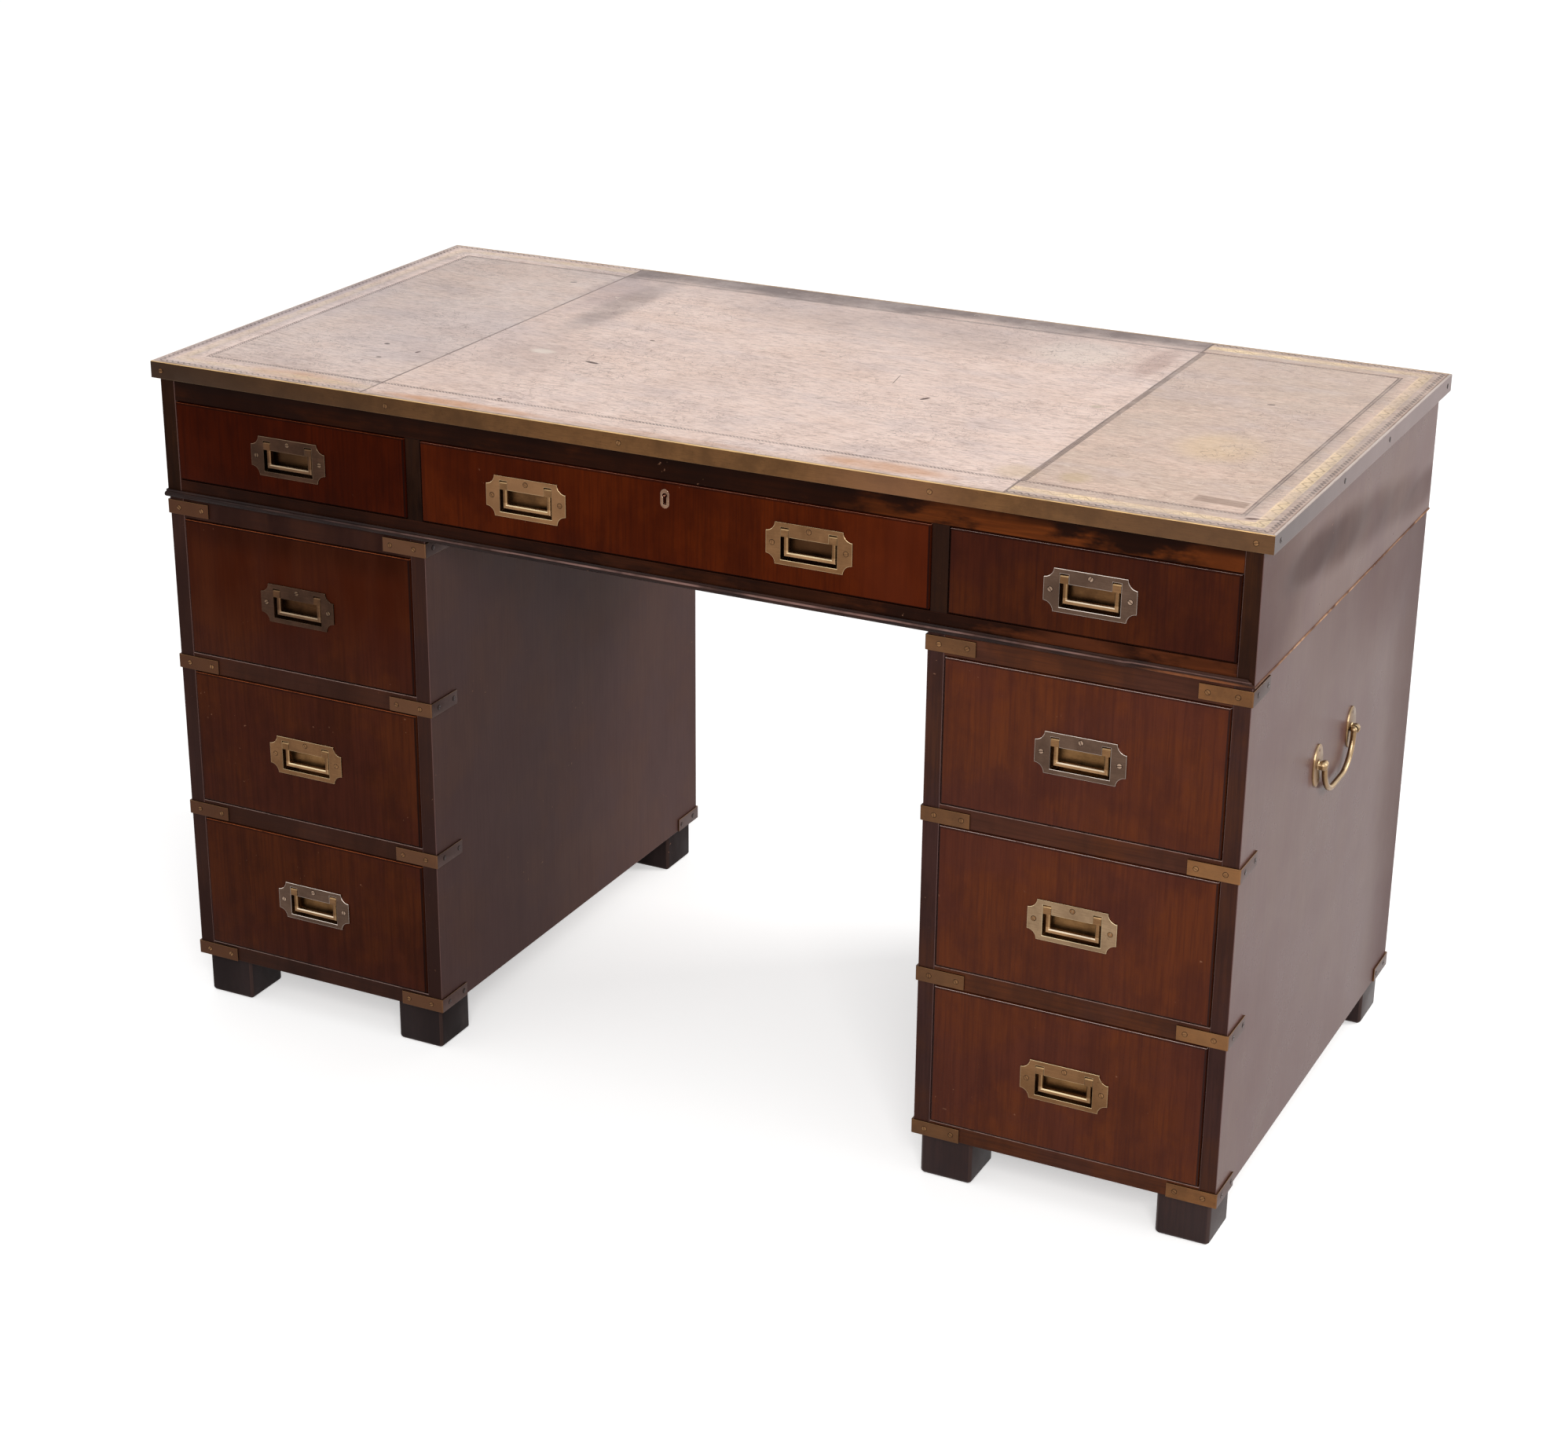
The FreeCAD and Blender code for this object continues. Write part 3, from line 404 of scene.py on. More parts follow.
# ---- top box ----
# A shallow box that lifts off the pedestals: two ends and a back, a front frame of two rails and two stiles,
# partitions with runners between the drawers, and a dust board under them. The rails are rubbed back to the
# orange wood where knees and hands pass.
# RAIL_ARRIS is a dark line, a painted shade, along the rails' arrises that look up. On the top rail: a
# painted shadow along its top under the band, darker at its left end, a painted shade, a dark patch right of
# the middle and an orange worn patch at the right end.
RAIL_ARRIS = ((62, 34, 24), 0.4)
RAIL_SPOTS = (((0.2, -0.31, 0.735), (0.08, 1, 0.05), 0.6, (26, 9, 4)),
              ((0.6, -0.31, 0.735), (0.06, 1, 0.03), 0.6, (104, 50, 20)),
              ((-0.48, -0.31, 0.735), (0.14, 1, 0.05), 0.6, (24, 7, 3)),
              ((0, 0, 0.745), (9, 1, 0.011), 0.8, (20, 8, 5)))
# On the lower rail: a dark patch about the middle, an orange worn patch towards the right, and darker at the
# left end, a painted shade.
LOW_RAIL_SPOTS = (((0.12, -0.31, 0.62), (0.17, 1, 0.05), 0.7, (28, 12, 6)),
                  ((0.45, -0.31, 0.62), (0.06, 1, 0.05), 0.6, (92, 47, 27)),
                  ((-0.42, -0.31, 0.62), (0.14, 1, 0.05), 0.6, (22, 7, 3)))
top_rail_mahogany = mahogany("top_rail_mahogany", "X", (33, 12, 4), (22, 7, 3), (41, 16, 5), RAIL_ARRIS,
                             worn=(104, 50, 18), specular=0.03, spots=RAIL_SPOTS)
low_rail_mahogany = mahogany("low_rail_mahogany", "X", (35, 14, 6), (22, 8, 4), (43, 18, 8), RAIL_ARRIS,
                             worn=(86, 42, 20), specular=0.03, spots=LOW_RAIL_SPOTS)
# The box's left stile and the partition by the left drawer are darkened, a painted shade, and the right
# partition a little.
DARK_STILES = (((-0.3, -0.31, 0.68), (0.06, 1, 9), 1.0, (12, 3, 1)),
               ((-0.63, -0.31, 0.7), (0.07, 1, 9), 0.9, (20, 7, 2)),
               ((0.3, -0.31, 0.68), (0.06, 1, 9), 0.6, (26, 14, 9)))
box_stile_mahogany = mahogany("box_stile_mahogany", "Z", (48, 25, 14), (30, 15, 10), (60, 32, 15),
                              ((40, 24, 16), 0.5), shine=0.32, specular=0.04, spots=DARK_STILES)
# Spots on the box ends: the right end darker in a band that runs down towards the back, and darker at the
# front; the left end browner all over.
END_DARKER = (50, 31, 30)
END_SPOTS = (((0.63, -0.14, 0.692), (1, 0.13, 0.034), 0.6, END_DARKER),
             ((0.63, -0.04, 0.683), (1, 0.12, 0.038), 0.5, END_DARKER),
             ((0.63, 0.06, 0.672), (1, 0.12, 0.038), 0.34, END_DARKER),
             ((0.63, 0.16, 0.661), (1, 0.12, 0.032), 0.28, END_DARKER),
             ((0.63, 0.26, 0.646), (1, 0.12, 0.028), 0.35, END_DARKER),
             ((0.63, -0.3, 0.68), (1, 0.2, 0.11), 0.4, END_DARKER),
             ((-0.63, 0, 0.68), ALL_OVER, 0.7, (88, 56, 44)))
box_end_mahogany = mahogany("box_end_mahogany", "Z", (98, 68, 63), (84, 56, 53), (104, 76, 67),
                            *PAINTED_SIDE_ARRISES, shine=0.28, specular=0.06, figured=0.08, spots=END_SPOTS)
dress("top_box_ends_and_back", [box_end_mahogany, box_end_mahogany, back_mahogany],
      facing={"front": box_stile_mahogany, "back": back_mahogany})
dress("top_box_front_frame",
      [top_rail_mahogany, low_rail_mahogany, box_stile_mahogany, box_stile_mahogany])
for node in ("top_box_partitions_and_runners", "top_box_dust_board"):
    dress(node, [inner_board])

# ---- base moulding ----
# A half-round bead with a small fillet over it, planted round the bottom of the box. The front length is
# broken off towards its right end, which leaves a dark scar. The right length is worn to the bare wood, and
# the left one by half.
HAIR = 1e-5  # what is nearer than this counts as being in the same place
BREAK_X = 0.504
BREAK_AHEAD = 0.001  # the break may start this much before it
BREAK_STEP = 0.006
CHIP_STEP = 0.0125
CHIP_CHANCE = 0.06
CHIP_DEEP = (0.0004, 0.0011)
CHIPPED_FROM = 0.003  # of the bead's reach from the rail, where a chip may be
SCAR_LEFT = 0.0016  # of its reach, where it is broken
SCAR_ROUGH = (0.75, 1.0)  # how much of the rest has gone
WORN_SHARE = 0.24  # of the reach and height of the right length
LEFT_WORN_SHARE = 0.45  # of the reach of the left length
BARE_EDGE = ((0.567, -0.31, 0.6135), (0.068, 0.02, 0.0022), 0.8, (150, 92, 58))
# a painted highlight along the top of the bead's round
BEAD_HIGHLIGHT_LINE = ((0.1, -0.3125, 0.6172), (0.75, 9, 0.0012), 0.8, (150, 116, 108))
bead_mahogany = mahogany("bead_mahogany", "X", (38, 23, 20), (26, 15, 14), (46, 28, 22), figured=0.55,
                         worn=(60, 34, 24), specular=0.12, spots=(BARE_EDGE, BEAD_HIGHLIGHT_LINE))
bare_bead = mahogany("bare_bead", "Y", (150, 110, 82), (80, 52, 42), (206, 162, 128), shine=0.5, figured=0.6,
                     spots=(((0.62, 0, 0.6121), (9, 9, 0.0006), 0.8, (84, 46, 34)),))
bead = dress("top_box_base_moulding", [bead_mahogany, bare_bead, bead_mahogany], 0.0,
             marked=False)
rail_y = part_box("top_box_front_frame")[0].y
end_low, end_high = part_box("top_box_ends_and_back")
bead_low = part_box("top_box_base_moulding")[0]
cuts = [BREAK_X + step * BREAK_STEP for step in range(int((end_high.x - BREAK_X) / BREAK_STEP))]
cuts += [bead_low.x + (step + 1) * CHIP_STEP for step in range(int((BREAK_X - bead_low.x) / CHIP_STEP))]
opened(bead)
for cut_x in cuts:
    cut_through((cut_x, 0, 0), FACING["right"])
closed()
for corner in bead.data.vertices:
    place = corner.co
    reach = rail_y - place.y
    if place.x > end_high.x - HAIR:
        place.x = end_high.x + (place.x - end_high.x) * WORN_SHARE
        place.z = bead_low.z + (place.z - bead_low.z) * WORN_SHARE
    if place.x < end_low.x + HAIR:
        place.x = end_low.x + (place.x - end_low.x) * LEFT_WORN_SHARE
    if reach > SCAR_LEFT and place.x > BREAK_X - BREAK_AHEAD:
        place.y += (reach - SCAR_LEFT) * dice.uniform(*SCAR_ROUGH)
    elif reach > CHIPPED_FROM and dice.random() < CHIP_CHANCE:
        place.y += dice.uniform(*CHIP_DEEP)

# ---- drawers ----
# Solid mahogany fronts with the grain upright, their front arris rounded, standing just proud of the carcass.
# The boxes behind are thin hardwood, dovetailed into the front and grooved for the bottom.
FRONT_ARRIS = 0.0005
LIT_UP = 0.8  # the painted highlight runs along what looks up this steeply, with a painted shade line under it
UNDER_LINE = -0.6
FORWARD = -0.1  # an arris belongs to the front's face when its normal has less of Y than this
# Colours of the fronts' upper arrises, a painted highlight: bright on the right, dimmer on the left, which
# stands in painted shade.
LIT_ARRIS = ((216, 196, 190), 0.85)
DIM_ARRIS = ((180, 98, 58), 1.0)
# The fronts' mahogany in several tones. The box's left front and the left pedestal's fronts are darker, a
# painted shade, and the pedestal's upper fronts darker still towards the top, a painted shadow under the box;
# the centre front is lighter towards its right end, painted light; the box's fronts are darker than the right
# pedestal's. The arris colours given to each are painted highlight and shade.
dark_front = mahogany("dark_front_mahogany", "Z", (70, 23, 6), (48, 14, 5), (80, 29, 7),
                      ((214, 148, 122), 1.0), ((26, 11, 9), 0.85), shine=0.24, specular=0.012,
                      spots=(((0.28, -0.31, 0.68), (0.11, 1, 0.1), 0.6, (90, 36, 17)),))
left_front = mahogany("left_front_mahogany", "Z", (56, 15, 3), (36, 8, 3), (62, 18, 4), DIM_ARRIS,
                      ((22, 8, 6), 0.85), shine=0.24, specular=0.012)
shaded_front = mahogany("shaded_front_mahogany", "Z", (66, 30, 20), (46, 20, 13), (76, 36, 18), DIM_ARRIS,
                        ((24, 12, 10), 0.85), shine=0.24, specular=0.02,
                        spots=(((-0.46, -0.31, 0.62), (9, 9, 0.2), 0.85, (58, 19, 5)),
                               ((-0.46, -0.31, 0.6), (9, 9, 0.05), 0.6, (30, 9, 3))))
red_front = mahogany("red_front_mahogany", "Z", (84, 40, 26), (60, 26, 19), (94, 45, 21), LIT_ARRIS,
                     ((34, 18, 16), 0.85), shine=0.26, specular=0.06)
right_front = mahogany("right_front_mahogany", "Z", (64, 27, 16), (44, 18, 13), (74, 33, 14), LIT_ARRIS,
                       ((26, 11, 9), 0.85), shine=0.24, specular=0.02)
drawer_lining = mahogany("drawer_lining", "Y", (150, 112, 76), (118, 84, 54), (156, 119, 82), shine=0.55,
                         figured=0.45)
box_woods = {"left_top": left_front, "centre_top": dark_front, "right_top": right_front}
ROWS = ("top", "upper", "middle", "lower")
keys = ["centre_top"] + [f"{side}_{row}" for side in KNEEHOLE_WAY for row in ROWS]
for key in keys:
    wood = box_woods.get(key, shaded_front if key.startswith("left") else red_front)
    front = dress(f"{key}_drawer_front", [wood], FRONT_ARRIS)
    marks = front.data.attributes["arris"].data
    for face in front.data.polygons:
        if face.normal.z > UPWARD and face.normal.y < FORWARD:
            marks[face.index].value = 1.0 if face.normal.z > LIT_UP else UNDER_LINE
    dress(f"{key}_drawer_box", [drawer_lining])

# ---- top ----
# A blockboard top with three skins of tan leather glued side by side. A dashed blind line is tooled round the
# field, and outside it the outer skins have a gilt scroll and a row of teeth. The hide is creased and dirty.
TOP_Z = 0.765
HALF_FIELD_X = 0.632
HALF_FIELD_Y = 0.308
SEAM_X = 0.365
TEETH_FROM_EDGE = (0.0026, 0.0078)
GILT_FROM_EDGE = (0.0133, 0.0257)
BLIND_FROM_EDGE = (0.0398, 0.0446)
BLIND_RAILS = ((0.0398, 0.041), (0.0432, 0.0446))
SEAM_ROW_FROM_SEAM = (0.0012, 0.006)
TEETH_TO_THE_METRE = 133.0
VINES_TO_THE_METRE = 53.0
DASHES_TO_THE_METRE = 250.0
TOOL_DEPTH = 0.0002
TOOL_WALL = 0.0003
HIDE_DEEP = 0.0003
LEATHER_ARRIS = 0.0004
# dirt, russet wear, stains and scuffs that fade out: middle, half sizes, share and colour
MARKS = ((-0.303, 0.145, 0.034, 0.19, 0.6, (142, 126, 124)), (-0.345, 0.19, 0.04, 0.15, 0.4, (164, 146, 150)),
         (0.335, 0.2, 0.022, 0.09, 0.45, (164, 128, 118)), (0.06, 0.2, 0.3, 0.08, 0.3, (170, 152, 146)),
         (-0.29, -0.1, 0.07, 0.09, 0.3, (170, 150, 146)), (-0.628, -0.03, 0.02, 0.36, 0.6, (146, 134, 142)),
         (-0.6, 0.0, 0.05, 0.2, 0.3, (190, 178, 186)), (0.409, -0.232, 0.022, 0.024, 0.5, (190, 166, 126)),
         (0.5, -0.07, 0.06, 0.07, 0.45, (226, 196, 152)), (0.35, -0.24, 0.03, 0.03, 0.4, (206, 180, 140)),
         (-0.43, -0.06, 0.16, 0.18, 0.25, (196, 186, 192)), (0.23, -0.288, 0.1, 0.02, 0.65, (206, 150, 106)),
         (-0.45, -0.287, 0.1, 0.026, 0.6, (214, 163, 122)),
         (-0.25, -0.297, 0.13, 0.014, 0.7, (208, 149, 102)),
         (-0.02, -0.299, 0.2, 0.01, 0.4, (198, 150, 116)), (0.25, 0.2, 0.07, 0.07, 0.45, (240, 228, 216)),
         (0.339, 0.008, 0.01, 0.006, 0.6, (166, 156, 124)),
         (-0.28, -0.076, 0.02, 0.012, 0.55, (244, 234, 222)))
# cuts and holes: middle, half length, half width and turn
CUTS = ((-0.2085, -0.0915, 0.0085, 0.0026, -12), (0.169, -0.0497, 0.006, 0.0021, 62),
        (-0.195, 0.02, 0.0028, 0.0014, 10), (-0.3985, -0.1447, 0.0034, 0.0018, 70),
        (-0.4477, -0.131, 0.0032, 0.0022, 0), (-0.425, -0.182, 0.003, 0.0016, 20),
        (-0.408, 0.212, 0.004, 0.0016, 30), (0.498, 0.101, 0.004, 0.0016, 15),
        (0.1118, 0.0047, 0.018, 0.0004, 100), (0.6, -0.274, 0.0065, 0.002, 20),
        (0.614, -0.2695, 0.016, 0.0006, 21), (-0.223, -0.2605, 0.0028, 0.0018, 0))
LIFTED_STRIP = (0.558, -0.2372, 0.0275, 0.0092, -2)


def plus(first, second):
    """Two values added."""
    return sum_of("ADD", first, second)


def less(first, second):
    """The first value less the second."""
    return sum_of("SUBTRACT", first, second)


def size_of(value):
    """A value without its sign."""
    return sum_of("ABSOLUTE", value)


def within(value, span, soft=0.0004):
    """One inside a span of a value, and nothing outside it."""
    low, high = span
    return product(faded(value, low - soft, low + soft), faded(value, high - soft, high + soft, 1, 0))


def crease(place, scale, level, wide):
    """Thin curved lines, where soft noise crosses one level."""
    return faded(size_of(less(cloud(place, scale, 2.5, 0.5), level)), 0, wide, 1, 0)


def turned_spot(place, middle_x, middle_y, half_long, half_wide, turn):
    """A place seen from a turned spot's middle, along it and across it, as shares of its halves."""
    sockets = {"Vector": place, "Location": (middle_x, middle_y, 0), "Rotation": (0, 0, math.radians(turn)),
               "Scale": (half_long, half_wide, 1)}
    return axes_of(shader("Mapping", sockets, vector_type="TEXTURE").outputs[0])[:2]


def tanned_leather():
    """Tan hide with fine wrinkles and creases, its marks and cuts, and its tooled borders."""
    finish, surface, place = new_finish("tooled_leather", specular=0.3)
    x, y, _ = axes_of(place)
    across_x = size_of(x)
    from_side, from_front = less(HALF_FIELD_X, across_x), less(HALF_FIELD_Y, size_of(y))
    inward = sum_of("MINIMUM", from_side, from_front)
    along = shader("Mix", {"Factor": sum_of("LESS_THAN", from_side, from_front), 2: x, 3: y},
                   data_type="FLOAT").outputs[0]
    outer_skin = sum_of("GREATER_THAN", across_x, SEAM_X)
    middle_skin = less(1.0, outer_skin)
    right_skin, left_skin = sum_of("GREATER_THAN", x, SEAM_X), sum_of("LESS_THAN", x, -SEAM_X)
    # the hide itself
    fibre = cloud(stretched(place, 0.14, 1, 1), 640, 5, 0.75)
    wrinkle = cloud(stretched(place, 0.3, 1, 1), 150, 6, 0.75)
    mottle = cloud(place, 14, 6, 0.66)
    patches = cloud(stretched(place, 0.5, 1, 1), 19, 4, 0.6)
    # The skins' pale grounds are partly the tan hide's own colour and partly its sheen, painted in.
    colour = tinted(right_skin, (246, 220, 208), (208, 184, 168))
    colour = tinted(left_skin, colour, (244, 221, 211))
    for pattern, low, high, low_to, high_to, shade in (
            (cloud(place, 5, 4, 0.55), 0.42, 0.64, 0, 0.4, (222, 196, 184)),
            (mottle, 0.48, 0.7, 0, 0.24, (196, 178, 174)), (patches, 0.5, 0.66, 0, 0.26, (200, 186, 188)),
            (patches, 0.34, 0.5, 0.3, 0, (238, 206, 188)), (wrinkle, 0.46, 0.7, 0, 0.36, (164, 138, 128)),
            (fibre, 0.47, 0.68, 0, 0.66, (146, 120, 108)), (fibre, 0.3, 0.46, 0.5, 0, (250, 238, 226))):
        colour = tinted(faded(pattern, low, high, low_to, high_to), colour, shade)
    uneven = faded(mottle, 0.34, 0.6, 0.7, 1)
    for mark_x, mark_y, half_x, half_y, share, shade in MARKS:
        mark = spot(place, (mark_x, mark_y, TOP_Z), (half_x, half_y, 1))
        colour = tinted(product(mark, uneven, share), colour, shade)
    ragged = plus(y, product(less(patches, 0.5), 0.06))
    colour = tinted(product(faded(ragged, 0.16, 0.28, 0, 0.25), middle_skin), colour, (170, 156, 158))
    colour = tinted(product(faded(ragged, 0.255, 0.29, 0, 0.85), middle_skin, uneven), colour, (110, 97, 95))
    # creases and scratches
    patchy = faded(cloud(place, 8, 3), 0.42, 0.6)
    lines = larger(crease(place, 30, 0.5, 0.006), product(crease(place, 70, 0.47, 0.012), 0.7))
    lines = larger(lines, product(crease(place, 44, 0.56, 0.007), 0.8))
    colour = tinted(product(lines, patchy, 0.6), colour, (124, 100, 94))
    scratch = product(crease(place, 13, 0.45, 0.0016), faded(cloud(place, 24, 2), 0.55, 0.6, 0, 0.8))
    colour = tinted(scratch, colour, (248, 236, 222))
    # the tooling, rubbed away in places and most of all on the left
    patchiness = faded(cloud(place, 17, 6, 0.65), 0.38, 0.6, 1.0, 0.4)
    edge_dirt = plus(faded(inward, 0.0, 0.0022, 0.8, 0), faded(inward, 0.002, 0.013, 0.3, 0))
    colour = tinted(product(edge_dirt, patchiness), colour, (128, 102, 88))
    wave = sum_of("PINGPONG", product(along, TEETH_TO_THE_METRE), 0.5)
    level = product(less(inward, TEETH_FROM_EDGE[0]), 0.5 / (TEETH_FROM_EDGE[1] - TEETH_FROM_EDGE[0]))
    tooth = faded(size_of(less(wave, level)), 0.11, 0.2, 1, 0)
    teeth = product(tooth, within(inward, TEETH_FROM_EDGE), outer_skin, faded(patchiness, 0.4, 1, 0.55, 0.85))
    colour = tinted(teeth, colour, (92, 78, 76))
    across = product(less(inward, sum(GILT_FROM_EDGE) / 2), 2 / (GILT_FROM_EDGE[1] - GILT_FROM_EDGE[0]))
    turn = product(along, VINES_TO_THE_METRE * 2 * math.pi)
    vine = less(across, product(sum_of("SINE", turn), 0.55))
    leaf = less(across, product(sum_of("SINE", product(turn, 3.0)), -0.7))
    strokes = larger(faded(size_of(vine), 0.1, 0.3, 1, 0), faded(size_of(leaf), 0.06, 0.22, 0.7, 0))
    gilt = product(within(inward, GILT_FROM_EDGE, 0.0008), outer_skin,
                   product(patchiness, plus(product(right_skin, 0.5), 0.5)))
    front_gilt = larger(faded(y, -0.3, 0.25, 0.9, 0.55), faded(from_side, 0.03, 0.06))
    colour = tinted(product(gilt, front_gilt), colour, (246, 219, 180))
    colour = tinted(product(gilt, strokes, 0.62), colour, (146, 116, 90))
    seam_side = within(across_x, [SEAM_X + step for step in SEAM_ROW_FROM_SEAM])
    seam_row = product(seam_side, faded(from_front, 0.0425, 0.0435), right_skin)
    blind = larger(within(inward, BLIND_FROM_EDGE), seam_row)
    rails = larger(*[within(inward, rail) for rail in BLIND_RAILS])
    dash = within(sum_of("FRACT", product(plus(along, inward), DASHES_TO_THE_METRE)), (0.1, 0.62), 0.1)
    pressed = larger(product(dash, 0.85), product(seam_row, 0.65))
    pressed = larger(product(rails, larger(outer_skin, 0.6)), pressed)
    colour = tinted(product(blind, pressed, faded(patchiness, 0.4, 1, 0.65, 0.95)), colour, (106, 90, 86))
    # the seams, the cuts and the strip that has lifted
    seam = faded(size_of(less(across_x, SEAM_X)), 0.0007, 0.0017, 0.9, 0)
    colour = tinted(product(seam, faded(mottle, 0.3, 0.7, 1, 0.6)), colour, (96, 80, 76))
    for cut in CUTS:
        u, v = turned_spot(place, *cut)
        colour = tinted(faded(plus(product(u, u), product(v, v)), 0.8, 1.5, 0.95, 0), colour, (72, 44, 36))
    u, v = turned_spot(place, *LIFTED_STRIP)
    lifted = faded(larger(size_of(u), size_of(v)), 0.9, 1.02, 0.7, 0)
    colour = tinted(product(lifted, faded(mottle, 0.3, 0.6, 1, 0.6)), colour, (146, 122, 108))
    feed(surface, "Base Color", colour)
    feed(surface, "Roughness", faded(mottle, 0.35, 0.65, 0.45, 0.6))
    bumped(surface, less(plus(product(fibre, 0.7), wrinkle), product(lines, 0.4)), HIDE_DEEP, 0.6)
    return finish


def tooled(face, span):
    """Whether a face lies on top of an outer skin, in one span inwards from the field's edge."""
    x, y, z = face.center
    inset = min(HALF_FIELD_X - abs(x), HALF_FIELD_Y - abs(y))
    level = face.normal.z > ALONG_AXIS and z > field_top - HAIR
    return level and abs(x) > SEAM_X and span[0] < inset < span[1]


leather = dress("leather_skins", [tanned_leather()], LEATHER_ARRIS)
dress("top_board", [inner_board], 0.0)
field_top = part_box("leather_skins")[1].z
opened(leather)
for inset in GILT_FROM_EDGE + BLIND_FROM_EDGE:
    for sign in (-1, 1):
        cut_through((sign * (HALF_FIELD_X - inset), 0, 0), FACING["right"])
        cut_through((0, sign * (HALF_FIELD_Y - inset), 0), FACING["back"])
closed()
for span in (GILT_FROM_EDGE, BLIND_FROM_EDGE):
    opened(leather, lambda face: tooled(face, span))
    bpy.ops.mesh.inset(thickness=TOOL_WALL, depth=-TOOL_DEPTH, use_boundary=True)
    closed()

# ---- edge band and corner straps ----
# Strip brass, never lacquered and tarnished brown. Its faces that look different ways have finishes of their
# own, lighter or darker for how light falls on them and what they reflect: painted light, shade and
# reflection, with a painted highlight only along its top arris. The band is mitred round the top, and each
# strap is bent cold round a corner.
BAND_ARRIS = 0.0008
STRAP_ARRIS = 0.0003
BRUSHED_DRAWN = 0.06  # how far the brushing lines are drawn out along X
BRUSHED_DEEP = 0.00025


def brass(name, ground, tarnish, bright, up_edge=0.8, side_edge=0.25, roughness=0.36, spots=(), uneven=1.0):
    """Old brass: faint clouds of tarnish, specks, fine brushing lines, and painted light and shade along its
    arrises, by the marks of mark_arrises. Each spot has a middle, half sizes, a share and a colour."""
    finish, surface, place = new_finish(name, metallic=1.0)
    colour = tinted(faded(cloud(place, 26, 6, 0.66), 0.36, 0.66), ground, tarnish)
    brushing = cloud(stretched(place, BRUSHED_DRAWN, 1, 1), 900, 3, 0.6)
    colour = tinted(faded(brushing, 0.42, 0.66, 0, 0.5), colour, tarnish)
    fleck = faded(cloud(place, 420, 3, 0.6), 0.65, 0.71, 0, 0.45)
    colour = tinted(fleck, colour, tuple(part * 0.4 for part in seen(*tarnish)[:3]) + (1.0,))
    for middle, halves, share, shade in spots:
        colour = tinted(product(spot(place, middle, halves, 0), share), colour, shade)
    patchiness = faded(cloud(place, 60, 4, 0.6), 0.34, 0.55, 0.7, 1.0)
    feed(surface, "Base Color", lined(place, colour, patchiness, (bright, up_edge), (bright, side_edge)))
    smear = faded(cloud(place, 35, 5, 0.6), 0.3, 0.7, roughness - 0.06 * uneven, roughness + 0.12 * uneven)
    feed(surface, "Roughness", smear)
    bumped(surface, plus(brushing, cloud(place, 16, 2)), BRUSHED_DEEP, 0.3 * uneven)
    return finish


# The front of the band: darker over the left, a painted shade, a painted sheen right of the middle, and
# darker again at the right end.
band_brass = brass("band_brass", (106, 74, 46), (86, 60, 38), (236, 196, 136), 1.0, 0.1,
                   spots=(((-0.75, 0, 0.75), (0.75, 9, 9), 1.0, (50, 32, 20)),
                          ((0.25, 0, 0.75), (0.12, 9, 9), 0.5, (122, 86, 64)),
                          ((0.56, 0, 0.75), (0.26, 9, 9), 0.6, (72, 54, 42))))
# The band's ends are grey like the polished wood beside them, a painted reflection, and darker towards the
# front.
band_side = brass("band_side", (107, 84, 80), (102, 79, 75), (196, 178, 168), 0.9, 0.2,
                  spots=(((0.63, -0.36, 0.75), (9, 0.42, 9), 0.9, (58, 41, 38)),), uneven=0.1)
PALE_SIDE = (206, 190, 180)
# The band's narrow top is pale, painted light: paler and greyer along the ends, dark along the back, and a
# painted highlight along the front.
band_top = brass("band_top", (206, 178, 146), (150, 122, 100), (236, 196, 136), 1.0, 0.1,
                 spots=(((0.6335, 0, TOP_Z), (0.02, 9, 9), 1.0, PALE_SIDE),
                        ((-0.6335, 0, TOP_Z), (0.02, 9, 9), 1.0, PALE_SIDE),
                        ((0, 0.4, TOP_Z), (9, 0.16, 9), 1.0, (74, 56, 48)),
                        ((0.1, -0.3135, TOP_Z), (0.4, 0.01, 9), 0.9, (244, 204, 136))))
# The straps' fronts: darker over the left half and by the kneehole, a painted shade, and lighter at the right
# front corner, painted light.
strap_brass = brass("strap_brass", (112, 76, 47), (92, 63, 41), (160, 122, 84), 0.5, 0.1,
                    spots=(((-0.75, 0, 0.3), (0.75, 9, 9), 1.0, (72, 45, 31)),
                           ((0.31, 0, 0.3), (0.09, 9, 9), 0.5, (80, 57, 42)),
                           ((-0.32, 0, 0.6), (0.1, 9, 0.1), 0.7, (70, 48, 35)),
                           ((-0.32, 0, 0.3), (0.2, 9, 9), 0.9, (88, 60, 43)),
                           ((0.61, 0, 0.33), (0.08, 9, 0.17), 0.7, (142, 103, 68))))
# The straps' side legs are grey like the polished sides, a painted reflection, with painted shade along their
# arrises and darker along the top row.
strap_side = brass("strap_side", (91, 71, 66), (79, 60, 56), (52, 36, 32), 0.9, 0.4, 0.45,
                   spots=(((0.62, -0.3, 0.61), (9, 9, 0.06), 0.7, (64, 48, 44)),), uneven=0.3)
band = dress("brass_edge_band", [band_brass], BAND_ARRIS,
             facing={"left": band_side, "right": band_side, "up": band_top})
# faces that look to either side take the band's grey side finish, with its painted reflection
for face in band.data.polygons:
    if abs(face.normal.x) > UPWARD:
        face.material_index = band.data.materials.find("band_side")
dress("corner_straps", [strap_brass], STRAP_ARRIS,
      facing={"left": strap_side, "right": strap_side})

